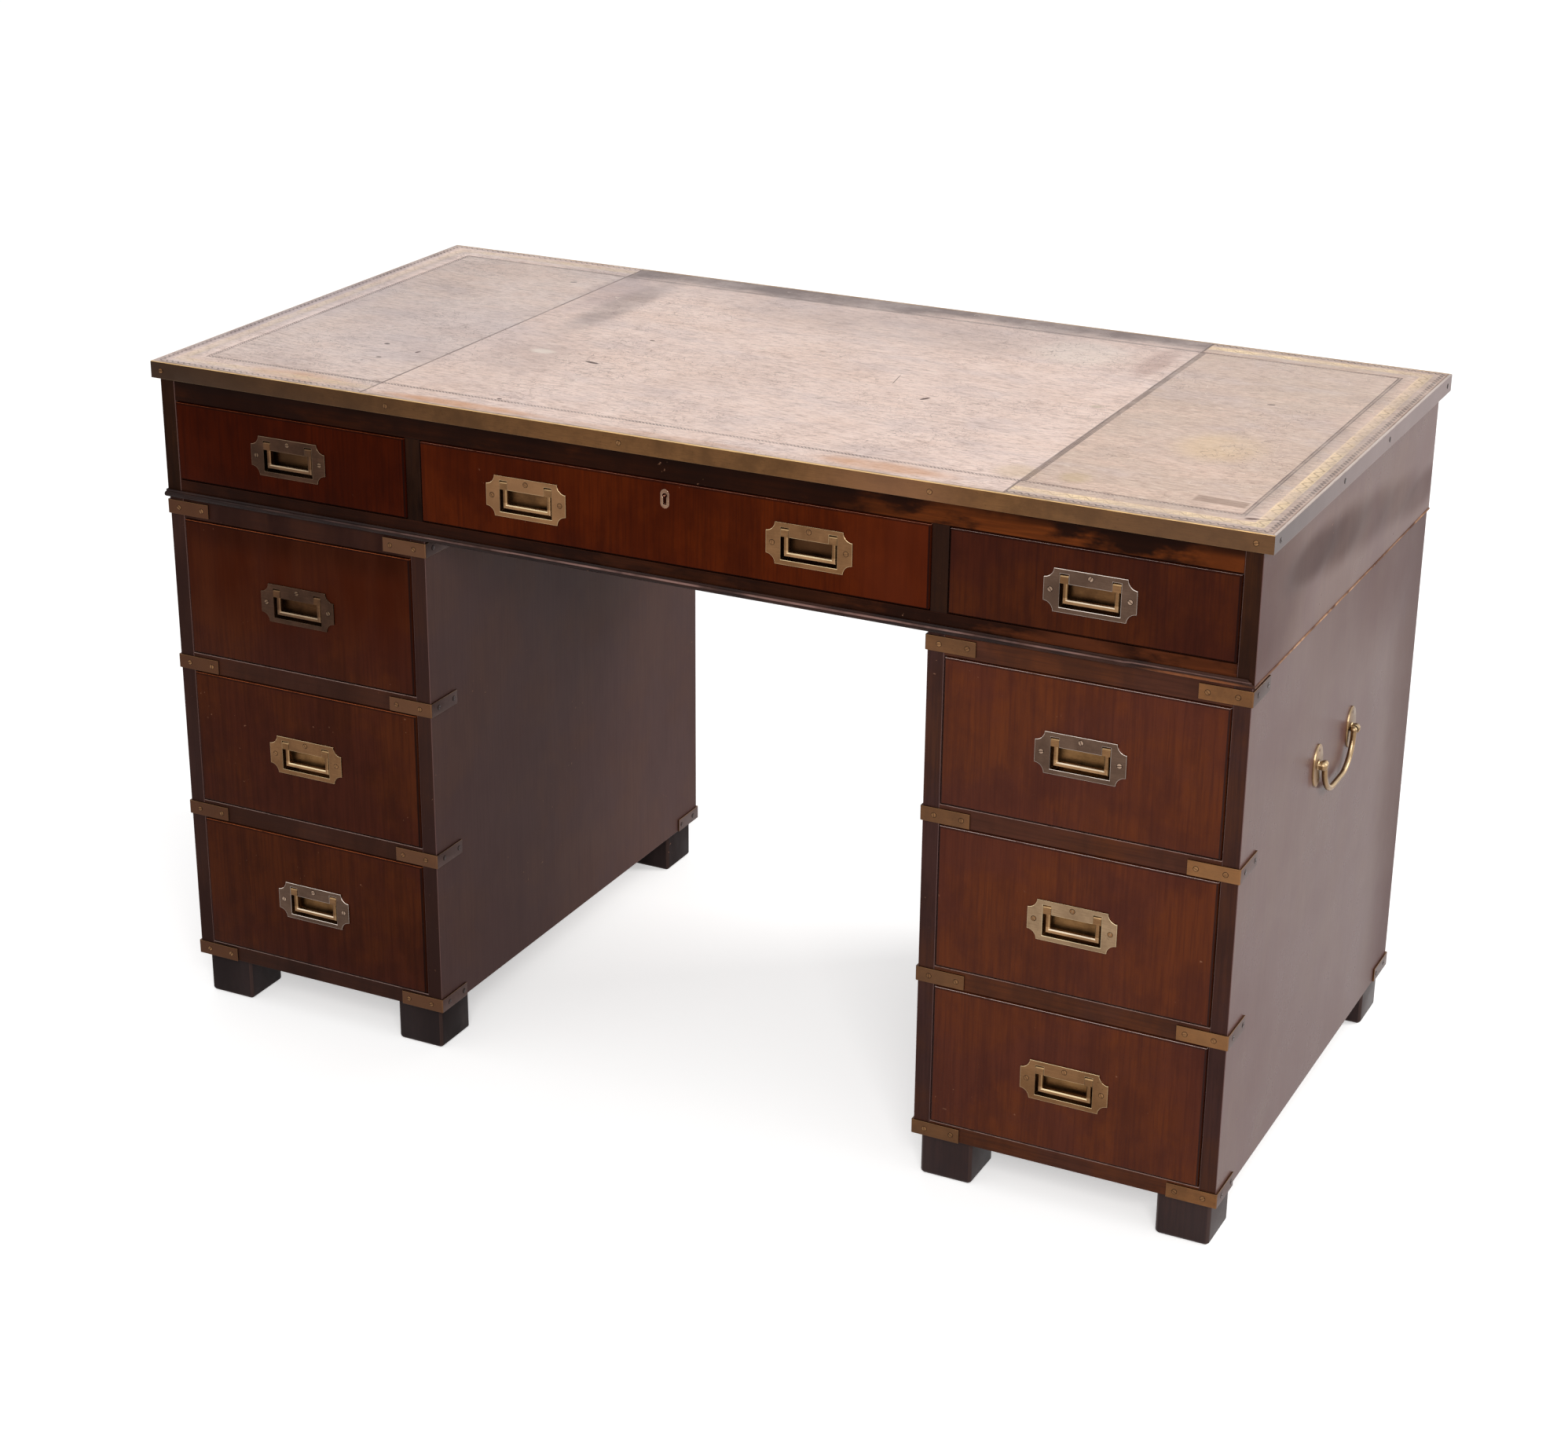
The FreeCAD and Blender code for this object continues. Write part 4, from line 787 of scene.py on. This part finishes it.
# ---- screws ----
# Slotted countersunk brass screws, driven nearly flush, with their slots left as they came to rest. One row
# holds the band, two screws hold each leg of a strap, and three each handle plate.
SCREW_SIDES = 20
SCREW_RADIUS = 0.0032
SCREW_PROUD = 0.00025
SCREW_SUNK = 0.001
SCREW_RIM = 0.0007  # the bevel round the head's edge, painted dark as shade
RIM_DROP = 0.5
SHADED_RIM = 0.8  # how much of the bevel is painted dark as shade
SLOT_HALF_WIDE = 0.0005
SLOT_DEEP = 0.0005
SCREW_SMOOTH = math.radians(30)


def cut_screw():
    """One screw head standing on the origin along Z, its edge bevelled and its slot cut along X.
    Returns its corners, its faces and which of the faces are painted dark as shade: those of the slot and the
    bevel."""
    bpy.ops.object.select_all(action="DESELECT")
    tall = SCREW_PROUD + SCREW_SUNK
    bpy.ops.mesh.primitive_cylinder_add(vertices=SCREW_SIDES, radius=SCREW_RADIUS, depth=tall,
                                        location=(0, 0, SCREW_PROUD - tall / 2))
    head = bpy.context.active_object
    bpy.ops.object.transform_apply(location=True)
    opened(head, lambda face: face.normal.z > ALONG_AXIS)
    bpy.ops.mesh.inset(thickness=SCREW_RIM)
    closed()
    for corner in head.data.vertices:
        if corner.co.z > 0 and corner.co.xy.length > SCREW_RADIUS - SCREW_RIM / 2:
            corner.co.z -= SCREW_RIM * RIM_DROP
    opened(head)
    for edge_y in (-SLOT_HALF_WIDE, SLOT_HALF_WIDE):
        cut_through((0, edge_y, 0), FACING["back"])
    closed()
    opened(head, lambda face: face.normal.z > UPWARD and abs(face.center.y) < SLOT_HALF_WIDE / 2)
    bpy.ops.mesh.extrude_region_move(TRANSFORM_OT_translate={"value": (0, 0, -SLOT_DEEP)})
    closed()
    points = [corner.co.copy() for corner in head.data.vertices]
    faces = [list(face.vertices) for face in head.data.polygons]
    bevel_from = SCREW_RADIUS - SCREW_RIM * SHADED_RIM
    shaded_faces = [face.center.z > -SCREW_SUNK / 2 and (face.center.xy.length > bevel_from
                                                  or abs(face.center.y) < SLOT_HALF_WIDE + HAIR)
             for face in head.data.polygons]
    bpy.data.objects.remove(head)
    return points, faces, shaded_faces


# The slots and the bevels round the heads are painted dark as shade, and the heads' arrises take a painted
# dark ring. The screws on the sides are grey like the polished wood, a painted reflection, with paler
# arrises.
slot_painted_shade = brass("slot_painted_shade", (40, 26, 18), (26, 18, 14), (60, 44, 34), 0.5, 0.1, 0.7)
screw_brass = brass("screw_brass", (138, 102, 68), (100, 70, 46), (58, 40, 26), 0.8, 0.8)
pale_screw_brass = brass("pale_screw_brass", (176, 150, 130), (130, 108, 92), (46, 36, 30), 0.8, 0.8)
dark_screw_brass = brass("dark_screw_brass", (76, 62, 60), (56, 44, 42), (120, 104, 98), 0.4, 0.2)
screw_points, screw_faces, screw_shaded_faces = cut_screw()


def drive_screws(name, finish, body, places, way, size=1.0):
    """Screws as one piece, each at its place on a face that looks one way, with its slot turned at random."""
    towards = FACING[way].to_track_quat("Z", "Y").to_matrix().to_4x4()
    points, faces = [], []
    for place in places:
        turned = towards @ Matrix.Rotation(dice.uniform(0, math.pi), 4, "Z") @ Matrix.Scale(size, 4)
        set_there = Matrix.Translation(place) @ turned
        faces += [[len(points) + corner for corner in ring] for ring in screw_faces]
        points += [set_there @ point for point in screw_points]
    screws = mesh_piece(name, points, faces)
    screws.data.materials.append(finish)
    screws.data.materials.append(slot_painted_shade)
    for face in screws.data.polygons:
        face.material_index = int(screw_shaded_faces[face.index % len(screw_faces)])
    mark_arrises(screws)
    bpy.ops.object.shade_smooth_by_angle(angle=SCREW_SMOOTH)
    settle(screws, body)


BAND_SCREW_Z = 0.755
BAND_FRONT_SCREWS_X = (-0.6217, -0.332, -0.0526, 0.29, 0.617)
BAND_SIDE_SCREWS_Y = (-0.292, -0.088, 0.07, 0.295)
BAND_SEAT = 0.0003  # how far the band's end and back faces lie behind their screws
STRAP_SCREWS_FROM_CORNER = (0.013, 0.043)
STRAP_ROWS_Z = (0.059, 0.238, 0.418, 0.601)  # middles
STRAP_THICK = 0.002
SIGNS = {"left": -1, "right": 1}
band_low, band_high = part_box("brass_edge_band")
end_x = band_high.x - BAND_SEAT
back_y = band_high.y - BAND_SEAT
for corner in band.data.vertices:
    corner.co.x = min(max(corner.co.x, -end_x), end_x)
    corner.co.y = min(corner.co.y, back_y)
for way, y in (("front", band_low.y), ("back", back_y)):
    places = [Vector((x, y, BAND_SCREW_Z)) for x in BAND_FRONT_SCREWS_X]
    drive_screws(f"band_{way}_screws", screw_brass, "carcass", places, way)
for side, sign in SIGNS.items():
    places = [Vector((sign * end_x, y, BAND_SCREW_Z)) for y in BAND_SIDE_SCREWS_Y]
    drive_screws(f"band_{side}_screws", dark_screw_brass, "carcass", places, side)
straps_low, straps_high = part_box("corner_straps")
strap_places = {"front": [], "back": [], "left": [], "right": []}
for side in KNEEHOLE_WAY:
    low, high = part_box(f"{side}_pedestal_panels")
    for inset in STRAP_SCREWS_FROM_CORNER:
        pair = (low.x + inset, high.x - inset)
        strap_places["front"] += [Vector((x, straps_low.y, z)) for x in pair for z in STRAP_ROWS_Z]
        strap_places["back"] += [Vector((x, straps_high.y, STRAP_ROWS_Z[0])) for x in pair]
        for way, x in (("left", low.x - STRAP_THICK), ("right", high.x + STRAP_THICK)):
            strap_places[way] += [Vector((x, low.y + inset, z)) for z in STRAP_ROWS_Z]
            strap_places[way].append(Vector((x, high.y - inset, STRAP_ROWS_Z[0])))
for way, places in strap_places.items():
    finish = dark_screw_brass if way in SIGNS else screw_brass
    drive_screws(f"strap_{way}_screws", finish, "carcass", places, way)

# ---- flush handles ----
# Each is one casting, a plate with four scooped corners and a pan behind it, let into the drawer front. The
# bail lies in the pan and turns on two pins through its knuckles. They have been replaced over the years, so
# some are golden, some pale and some a nickel mix. The two at the top left are darker, a painted shade, and
# the faces of each bail's bar that look up carry a painted highlight.
PLATE_ARRIS = 0.0008
BAIL_ARRIS = 0.0004
PLATE_SEAT = 0.0003  # how far the plate's face lies behind the screws and knuckles
GRIP_TOP = -0.0072  # of the bail's bar from the middle of the plate
GRIP_LOW = -0.0135
GRIP_WORN_LOW = -0.0139  # where the bar's lower edge hangs now
GRIP_WORN_SHARE = 0.81  # of its height
GRIP_KEPT = 0.0001  # the corners this close to the bar's top stay where they are
END_SCREW_IN = 0.0069
TOP_SCREW_IN = 0.0057
CENTRE_HANDLE_X = 0.1625
# The shaded finishes serve the two handles at the top left, darker, a painted shade.
shaded_plate = brass("shaded_plate", (70, 49, 37), (52, 36, 27), (150, 124, 100), 0.8, 0.3, 0.4)
golden_plate = brass("golden_plate", (118, 86, 58), (98, 70, 46), (244, 216, 170), 1.0, 0.3, 0.32,
                     (((-CENTRE_HANDLE_X, -0.31, 0.68), (0.12, 1, 0.1), 0.4, (146, 108, 76)),))
nickel_plate = brass("nickel_plate", (90, 71, 59), (74, 57, 47), (255, 240, 228), 1.0, 0.25, 0.34)
pale_plate = brass("pale_plate", (140, 116, 90), (116, 94, 72), (244, 222, 180), 1.0, 0.3, 0.34)
pan_brass = brass("pan_brass", (126, 94, 60), (92, 66, 40), (190, 156, 110), 0.5, 0.3, 0.34)
# The box's pans are darker in the left drawer, a painted shade, and behind the centre drawer's right handle.
box_pan = brass("box_pan", (104, 74, 46), (76, 52, 32), (150, 120, 84), 0.5, 0.3, 0.36,
                (((-0.48, -0.31, 0.68), (0.1, 1, 0.1), 1.0, (54, 36, 22)),
                 ((CENTRE_HANDLE_X, -0.31, 0.68), (0.1, 1, 0.1), 0.95, (62, 40, 24))))
shaded_pan = brass("shaded_pan", (78, 52, 31), (54, 34, 20), (120, 92, 66), 0.5, 0.3, 0.4)
# The grip finishes go on the faces of the bar that look up, a painted highlight; the knuckle finishes on the
# knuckles and the arms, which lie deeper, partly a painted shade.
grip_brass = brass("grip_brass", (192, 161, 127), (162, 128, 94), (246, 222, 178), 1.0, 0.4, 0.28)
pale_grip = brass("pale_grip", (188, 160, 132), (158, 130, 104), (246, 226, 198), 1.0, 0.4, 0.28)
shaded_grip = brass("shaded_grip", (122, 98, 78), (92, 72, 56), (190, 166, 136), 0.9, 0.3, 0.34)
knuckle_brass = brass("knuckle_brass", (124, 92, 62), (98, 70, 45), (190, 156, 112), 0.8, 0.3, 0.34)
shaded_knuckle = brass("shaded_knuckle", (90, 62, 40), (66, 46, 32), (130, 100, 72), 0.6, 0.3, 0.4)
bar_brass = brass("bar_brass", (152, 118, 84), (124, 94, 66), (226, 194, 150), 0.8, 0.3, 0.32)
shaded_bar = brass("shaded_bar", (106, 80, 58), (80, 60, 44), (150, 120, 92), 0.6, 0.3, 0.36)
# the finishes of plate, pan, bail's grip (a painted highlight), knuckles, bar and screws
SHADED_SET = (shaded_plate, shaded_pan, shaded_grip, shaded_knuckle, shaded_bar, shaded_grip)
GOLDEN = (golden_plate, pan_brass, grip_brass, knuckle_brass, bar_brass, screw_brass)
NICKEL = (nickel_plate, pan_brass, pale_grip, knuckle_brass, bar_brass, pale_screw_brass)
PALE = (pale_plate, pan_brass, pale_grip, knuckle_brass, bar_brass, screw_brass)
handle_sets = dict(zip(keys, (GOLDEN, SHADED_SET, SHADED_SET, GOLDEN, NICKEL, NICKEL, NICKEL, PALE, GOLDEN)))
for key, (plate_finish, pan, grip, knuckle, bar, screw_finish) in handle_sets.items():
    face_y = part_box(f"{key}_drawer_front")[0].y
    plate_low, plate_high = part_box(f"{key}_handle_plate")
    plate = dress(f"{key}_handle_plate", [plate_finish], PLATE_ARRIS)
    plate.data.materials.append(box_pan if key.endswith("top") else pan)
    for face in plate.data.polygons:
        if face.center.y > face_y:
            face.material_index = 1
    seat_y = plate_low.y + PLATE_SEAT
    for corner in plate.data.vertices:
        corner.co.y = max(corner.co.y, seat_y)
    middle_z = (plate_low.z + plate_high.z) / 2
    names = [f"{key}_left", f"{key}_right"] if key == "centre_top" else [key]
    screw_places = []
    for name in names:
        bail_low, bail_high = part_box(f"{name}_handle_bail")
        middle_x = (bail_low.x + bail_high.x) / 2
        out = min(middle_x - plate_low.x, plate_high.x - middle_x) - END_SCREW_IN
        screw_places += [Vector((middle_x + sign * out, seat_y, middle_z)) for sign in (-1, 1)]
        screw_places.append(Vector((middle_x, seat_y, plate_high.z - TOP_SCREW_IN)))
        bail = dress(f"{name}_handle_bail", [grip], BAIL_ARRIS)
        bail.data.materials.append(knuckle)
        bail.data.materials.append(bar)
        opened(bail)
        cut_through((0, 0, middle_z + GRIP_TOP), FACING["up"])
        closed()
        # faces above the bar take the knuckle finish, faces of the bar that look up the grip's painted
        # highlight, and the bar's other faces the bar finish
        for face in bail.data.polygons:
            if face.center.z > middle_z + GRIP_TOP:
                face.material_index = 1
            elif face.normal.z < UPWARD:
                face.material_index = 2
        for corner in bail.data.vertices:
            from_low = corner.co.z - middle_z - GRIP_LOW
            if from_low < GRIP_TOP - GRIP_LOW - GRIP_KEPT:
                corner.co.z = middle_z + GRIP_WORN_LOW + from_low * GRIP_WORN_SHARE
    drive_screws(f"{key}_plate_screws", screw_finish, f"{key}_drawer", screw_places, "front")

# ---- lock ----
# An iron box lock let into the back of the centre drawer's front, with its bolt, and an oval brass escutcheon
# round the keyhole, which the key has worn wider.
LOCK_ARRIS = 0.0003
ESCUTCHEON_ARRIS = 0.0006
KEYHOLE_REACH = 0.0073
KEYHOLE_HALF_WIDE = 0.003
KEYHOLE_WORN = 1.2
lock_steel, steel_surface, steel_place = new_finish("lock_steel", metallic=1.0)
rusty = faded(cloud(steel_place, 90, 6), 0.4, 0.65)
feed(steel_surface, "Base Color", tinted(rusty, (66, 60, 56), (44, 36, 32)))
steel_surface.inputs["Roughness"].default_value = 0.42
escutcheon_brass = brass("escutcheon_brass", (140, 110, 90), (104, 78, 62), (238, 208, 182), 1.0, 0.4)
escutcheon = dress("centre_top_escutcheon", [escutcheon_brass], 0.0, marked=False)
ring_low, ring_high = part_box("centre_top_escutcheon")
for corner in escutcheon.data.vertices:
    from_middle = Vector((corner.co.x, corner.co.z - (ring_low.z + ring_high.z) / 2))
    if from_middle.length < KEYHOLE_REACH and abs(from_middle.x) < KEYHOLE_HALF_WIDE:
        corner.co.x *= KEYHOLE_WORN
ease(escutcheon, ESCUTCHEON_ARRIS)
mark_arrises(escutcheon)
for node in ("centre_top_lock_case", "centre_top_lock_bolt"):
    dress(node, [lock_steel], LOCK_ARRIS)

# ---- carry handles ----
# A drop handle on each outer side: two oval plates, each with a ball boss bored from the inner side, and a
# bail bent from round rod whose pins turn in the bosses.
PIN_OUT = 0.0065  # from the pedestal's side to the pins
PLATES_HALF_APART = 0.059
LEAF_HALF_TALL = 0.0235
LEAF_HALF_WIDE = 0.0155
LEAF_THICK = 0.002
LEAF_STEPS = 40
LEAF_POINTED = 0.12
LEAF_ROUNDED = 0.0008
ROUNDED_UP = 0.7  # how much of the rounding's height is in its first bevel, which goes in by half as much
BOSS_RADIUS = 0.005
BOSS_HALF_LONG = 0.0045
BOSS_MOUTH = 0.8  # how wide the flat face round the bore is, as a share of the boss
BORE_RADIUS = 0.0019
BORE_DEEP = 0.008
NECK_RADIUS = 0.0044
NECK_FOOT = 1.45  # how much wider the neck is where it leaves the plate
ROD_RADIUS = 0.0031
ROD_SIDES = 20
ROD_HALF_WIDE = 0.0512
ROD_DROP = 0.038
ROD_BEND = 0.036
EYE_RADIUS = 0.0038
ROD_PIN_RADIUS = 0.00175
ROD_PIN_END = 0.0617
BALL_STEPS = 12
CARRY_SMOOTH = math.radians(40)
LEAF_SCREW_IN = 0.0065
LEAF_SCREW_SIZE = 0.6
carry_brass = brass("carry_brass", (146, 117, 84), (108, 82, 56), (214, 190, 152), 0.5, 0.1)
carry_low, carry_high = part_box("right_carry_bail")
carry_y = (carry_low.y + carry_high.y) / 2
plates_low, plates_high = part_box("carry_handle_plates")
carry_z = (plates_low.z + plates_high.z) / 2
side_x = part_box("right_pedestal_panels")[1].x


def disc(name, centre, radius, way):
    """A flat round face that looks the given way, open in edit mode and selected."""
    turn = Vector(way).to_track_quat("Z", "Y").to_euler()
    bpy.ops.object.select_all(action="DESELECT")
    bpy.ops.mesh.primitive_circle_add(vertices=ROD_SIDES, radius=radius, location=centre, rotation=turn)
    ring = bpy.context.active_object
    ring.name = ring.data.name = name
    bpy.ops.object.transform_apply(location=True, rotation=True)
    opened(ring)
    bpy.ops.mesh.edge_face_add()
    return ring


def pulled(x, y, z, share=1.0):
    """Draws what is selected out along a vector, and makes it wider or narrower about its own middle."""
    bpy.ops.mesh.extrude_region_move(TRANSFORM_OT_translate={"value": (x, y, z)})
    if share != 1.0:
        bpy.ops.transform.resize(value=(share, share, share))


def closed_up():
    """Merges doubles, turns every face outwards and leaves edit mode."""
    bpy.ops.mesh.select_all(action="SELECT")
    bpy.ops.mesh.remove_doubles(threshold=1e-6)
    bpy.ops.mesh.normals_make_consistent(inside=False)
    closed()


def joined(parts):
    """The first of several parts, with the others joined to it."""
    only(parts[0])
    for part in parts:
        part.select_set(True)
    bpy.ops.object.join()
    return parts[0]


def carry_bail(name, sign):
    """The bail of one side, hanging: a bent rod, with a round eye and a pin at the top of each arm."""
    pin_x = sign * (side_x + PIN_OUT)
    parts = [disc(name, (pin_x, carry_y + ROD_HALF_WIDE, carry_z), ROD_RADIUS, (0, 0, -1))]
    pulled(0, 0, ROD_BEND - ROD_DROP)
    for way in (1, -1):
        centre = (pin_x, carry_y + way * (ROD_HALF_WIDE - ROD_BEND), carry_z + ROD_BEND - ROD_DROP)
        bpy.ops.mesh.spin(steps=BALL_STEPS, angle=math.pi / 2, center=centre, axis=(1, 0, 0))
        if way == 1:
            pulled(0, -2 * (ROD_HALF_WIDE - ROD_BEND), 0)
    pulled(0, 0, ROD_DROP - ROD_BEND)
    closed_up()
    for way in (-1, 1):
        place = (pin_x, carry_y + way * ROD_HALF_WIDE, carry_z)
        bpy.ops.object.select_all(action="DESELECT")
        bpy.ops.mesh.primitive_uv_sphere_add(segments=ROD_SIDES, ring_count=BALL_STEPS, radius=EYE_RADIUS,
                                             location=place)
        bpy.ops.object.transform_apply(location=True)
        parts.append(bpy.context.active_object)
        parts.append(disc(name + "_pin", place, ROD_PIN_RADIUS, (0, way, 0)))
        pulled(0, way * (ROD_PIN_END - ROD_HALF_WIDE), 0)
        closed_up()
    return joined(parts)


def leaf_plate(name, sign, way):
    """One oval plate on the side that sign gives, with its boss on a neck and the bore facing the middle."""
    base_x = sign * side_x
    middle_y = carry_y + way * PLATES_HALF_APART
    turns = [2 * math.pi * step / LEAF_STEPS for step in range(LEAF_STEPS)]
    oval = [Vector((base_x, middle_y + LEAF_HALF_WIDE * math.cos(turn) * abs(math.cos(turn)) ** LEAF_POINTED,
                    carry_z + LEAF_HALF_TALL * math.sin(turn))) for turn in turns]
    leaf = mesh_piece(name, oval, [list(range(len(oval)))])
    opened(leaf)
    pulled(sign * (LEAF_THICK - LEAF_ROUNDED), 0, 0)
    pulled(sign * LEAF_ROUNDED * ROUNDED_UP, 0, 0, 1 - LEAF_ROUNDED * ROUNDED_UP / 2 / LEAF_HALF_WIDE)
    pulled(sign * LEAF_ROUNDED * (1 - ROUNDED_UP), 0, 0, 1 - LEAF_ROUNDED / LEAF_HALF_WIDE)
    closed_up()
    neck_x = base_x + sign * LEAF_THICK / 2
    neck = disc(name + "_neck", (neck_x, middle_y, carry_z), NECK_RADIUS * NECK_FOOT, (sign, 0, 0))
    pulled(sign * LEAF_THICK, 0, 0, 1 / NECK_FOOT)
    pulled(sign * (PIN_OUT - 1.5 * LEAF_THICK), 0, 0)
    closed_up()
    bore_end = (base_x + sign * PIN_OUT, middle_y + way * (BORE_DEEP - BOSS_HALF_LONG), carry_z)
    boss = disc(name + "_boss", bore_end, BORE_RADIUS, (0, way, 0))
    pulled(0, -way * BORE_DEEP, 0, BOSS_MOUTH * BOSS_RADIUS / BORE_RADIUS)
    pulled(0, way * (1 - BOSS_MOUTH) * BOSS_RADIUS, 0, 1 / BOSS_MOUTH)
    pulled(0, way * (2 * BOSS_HALF_LONG - (2 - BOSS_MOUTH) * BOSS_RADIUS), 0)
    turns = [math.pi / 2 * step / (BALL_STEPS // 2 + 1) for step in range(BALL_STEPS // 2 + 1)]
    for last, turn in zip(turns, turns[1:]):
        pulled(0, way * BOSS_RADIUS * (math.sin(turn) - math.sin(last)), 0, math.cos(turn) / math.cos(last))
    bpy.ops.mesh.edge_face_add()
    closed_up()
    return joined([leaf, neck, boss])


for side, sign in SIGNS.items():
    bail = carry_bail(f"{side}_drop_bail", sign)
    settle(bail, f"{side}_carry_bail", f"{side}_carry_bail")
    leaves = [leaf_plate(f"{side}_{end}_leaf", sign, way) for end, way in (("near", -1), ("far", 1))]
    for leaf in leaves:
        settle(leaf, "carcass", "carry_handle_plates")
    for piece in [bail] + leaves:
        piece.data.materials.append(carry_brass)
        only(piece)
        bpy.ops.object.shade_smooth_by_angle(angle=CARRY_SMOOTH)
        mark_arrises(piece)
    screw_drop = LEAF_HALF_TALL - LEAF_SCREW_IN
    leaf_x = sign * (side_x + LEAF_THICK)
    places = [Vector((leaf_x, carry_y + way * PLATES_HALF_APART, carry_z + up * screw_drop))
              for way in (-1, 1) for up in (-1, 1)]
    drive_screws(f"{side}_leaf_screws", screw_brass, "carcass", places, side, LEAF_SCREW_SIZE)

# ---- room ----
# A pale floor under an even white sky, with one large soft lamp behind the desk on the right and one in front
# of it.
FLOOR_HALF = 30.0
FLOOR_GLOW = 0.45
SKY_STRENGTH = 0.55
WHITE = (1.0, 1.0, 1.0, 1.0)
LAMP_COLOUR = (1.0, 0.98, 0.96)
MIDDLE = (0, 0, 0.4)


def shows_white(tree):
    """One for what the camera, a reflection or a clear piece sees, so that all meet the same background."""
    path = shader("LightPath", tree=tree)
    share = path.outputs["Is Camera Ray"]
    for ray in ("Is Glossy Ray", "Is Transmission Ray"):
        share = larger(share, path.outputs[ray])
    return share


def floor_paint():
    """Matt white paint that bounces less light than it shows, and keeps a soft shadow."""
    finish, surface, place = new_finish("floor_paint", specular=0.0)
    white = shows_white(finish.node_tree)
    shown = tinted(faded(cloud(place, 1.5), 0.3, 0.7), (250, 250, 250), (254, 254, 254))
    feed(surface, "Base Color", tinted(white, (222, 221, 220), shown))
    surface.inputs["Roughness"].default_value = 0.9
    surface.inputs["Emission Color"].default_value = WHITE
    feed(surface, "Emission Strength", product(white, FLOOR_GLOW))
    return finish


bpy.ops.object.select_all(action="DESELECT")
bpy.ops.mesh.primitive_plane_add(size=2 * FLOOR_HALF, location=(0, 0, 0))
floor = bpy.context.active_object
floor.name = "floor"
floor.data.materials.append(floor_paint())

sky = bpy.data.worlds.new("sky")
bpy.context.scene.world = sky
sky.use_nodes = True
background = sky.node_tree.nodes["Background"]
background.inputs["Color"].default_value = WHITE
feed(background, "Strength", faded(shows_white(sky.node_tree), 0, 1, SKY_STRENGTH, 1.0))


def lamp(name, place, size, watts):
    """A square soft lamp pointed at the middle of the object."""
    data = bpy.data.lights.new(name, "AREA")
    data.shape = "SQUARE"
    data.size = size
    data.energy = watts
    data.color = LAMP_COLOUR
    made = bpy.data.objects.new(name, data)
    made.location = place
    made.rotation_euler = (Vector(MIDDLE) - Vector(place)).to_track_quat("-Z", "Y").to_euler()
    bpy.context.scene.collection.objects.link(made)


lamp("key_lamp", (6.0, 3.0, 4.0), 2.4, 230)
lamp("front_lamp", (1.8, -3.6, 2.6), 1.8, 90)

# ---- camera ----
# At a standing viewer's eye, a little to the right of the desk and looking down at it.
CAMERA_PLACE = (1.3812, -2.8391, 1.6356)
CAMERA_YAW = math.radians(26.21)
CAMERA_TILT = math.radians(90 - 22.25)
CAMERA_ROLL = math.radians(0.56)
lens = bpy.data.cameras.new("camera")
lens.lens = 68.78
lens.sensor_width = 36.0
camera = bpy.data.objects.new("camera", lens)
bpy.context.scene.collection.objects.link(camera)
turned = Matrix.Rotation(CAMERA_YAW, 4, "Z") @ Matrix.Rotation(CAMERA_TILT, 4, "X")
camera.matrix_world = Matrix.Translation(CAMERA_PLACE) @ turned @ Matrix.Rotation(CAMERA_ROLL, 4, "Z")
bpy.context.scene.camera = camera
bpy.context.scene.view_settings.view_transform = "Standard"
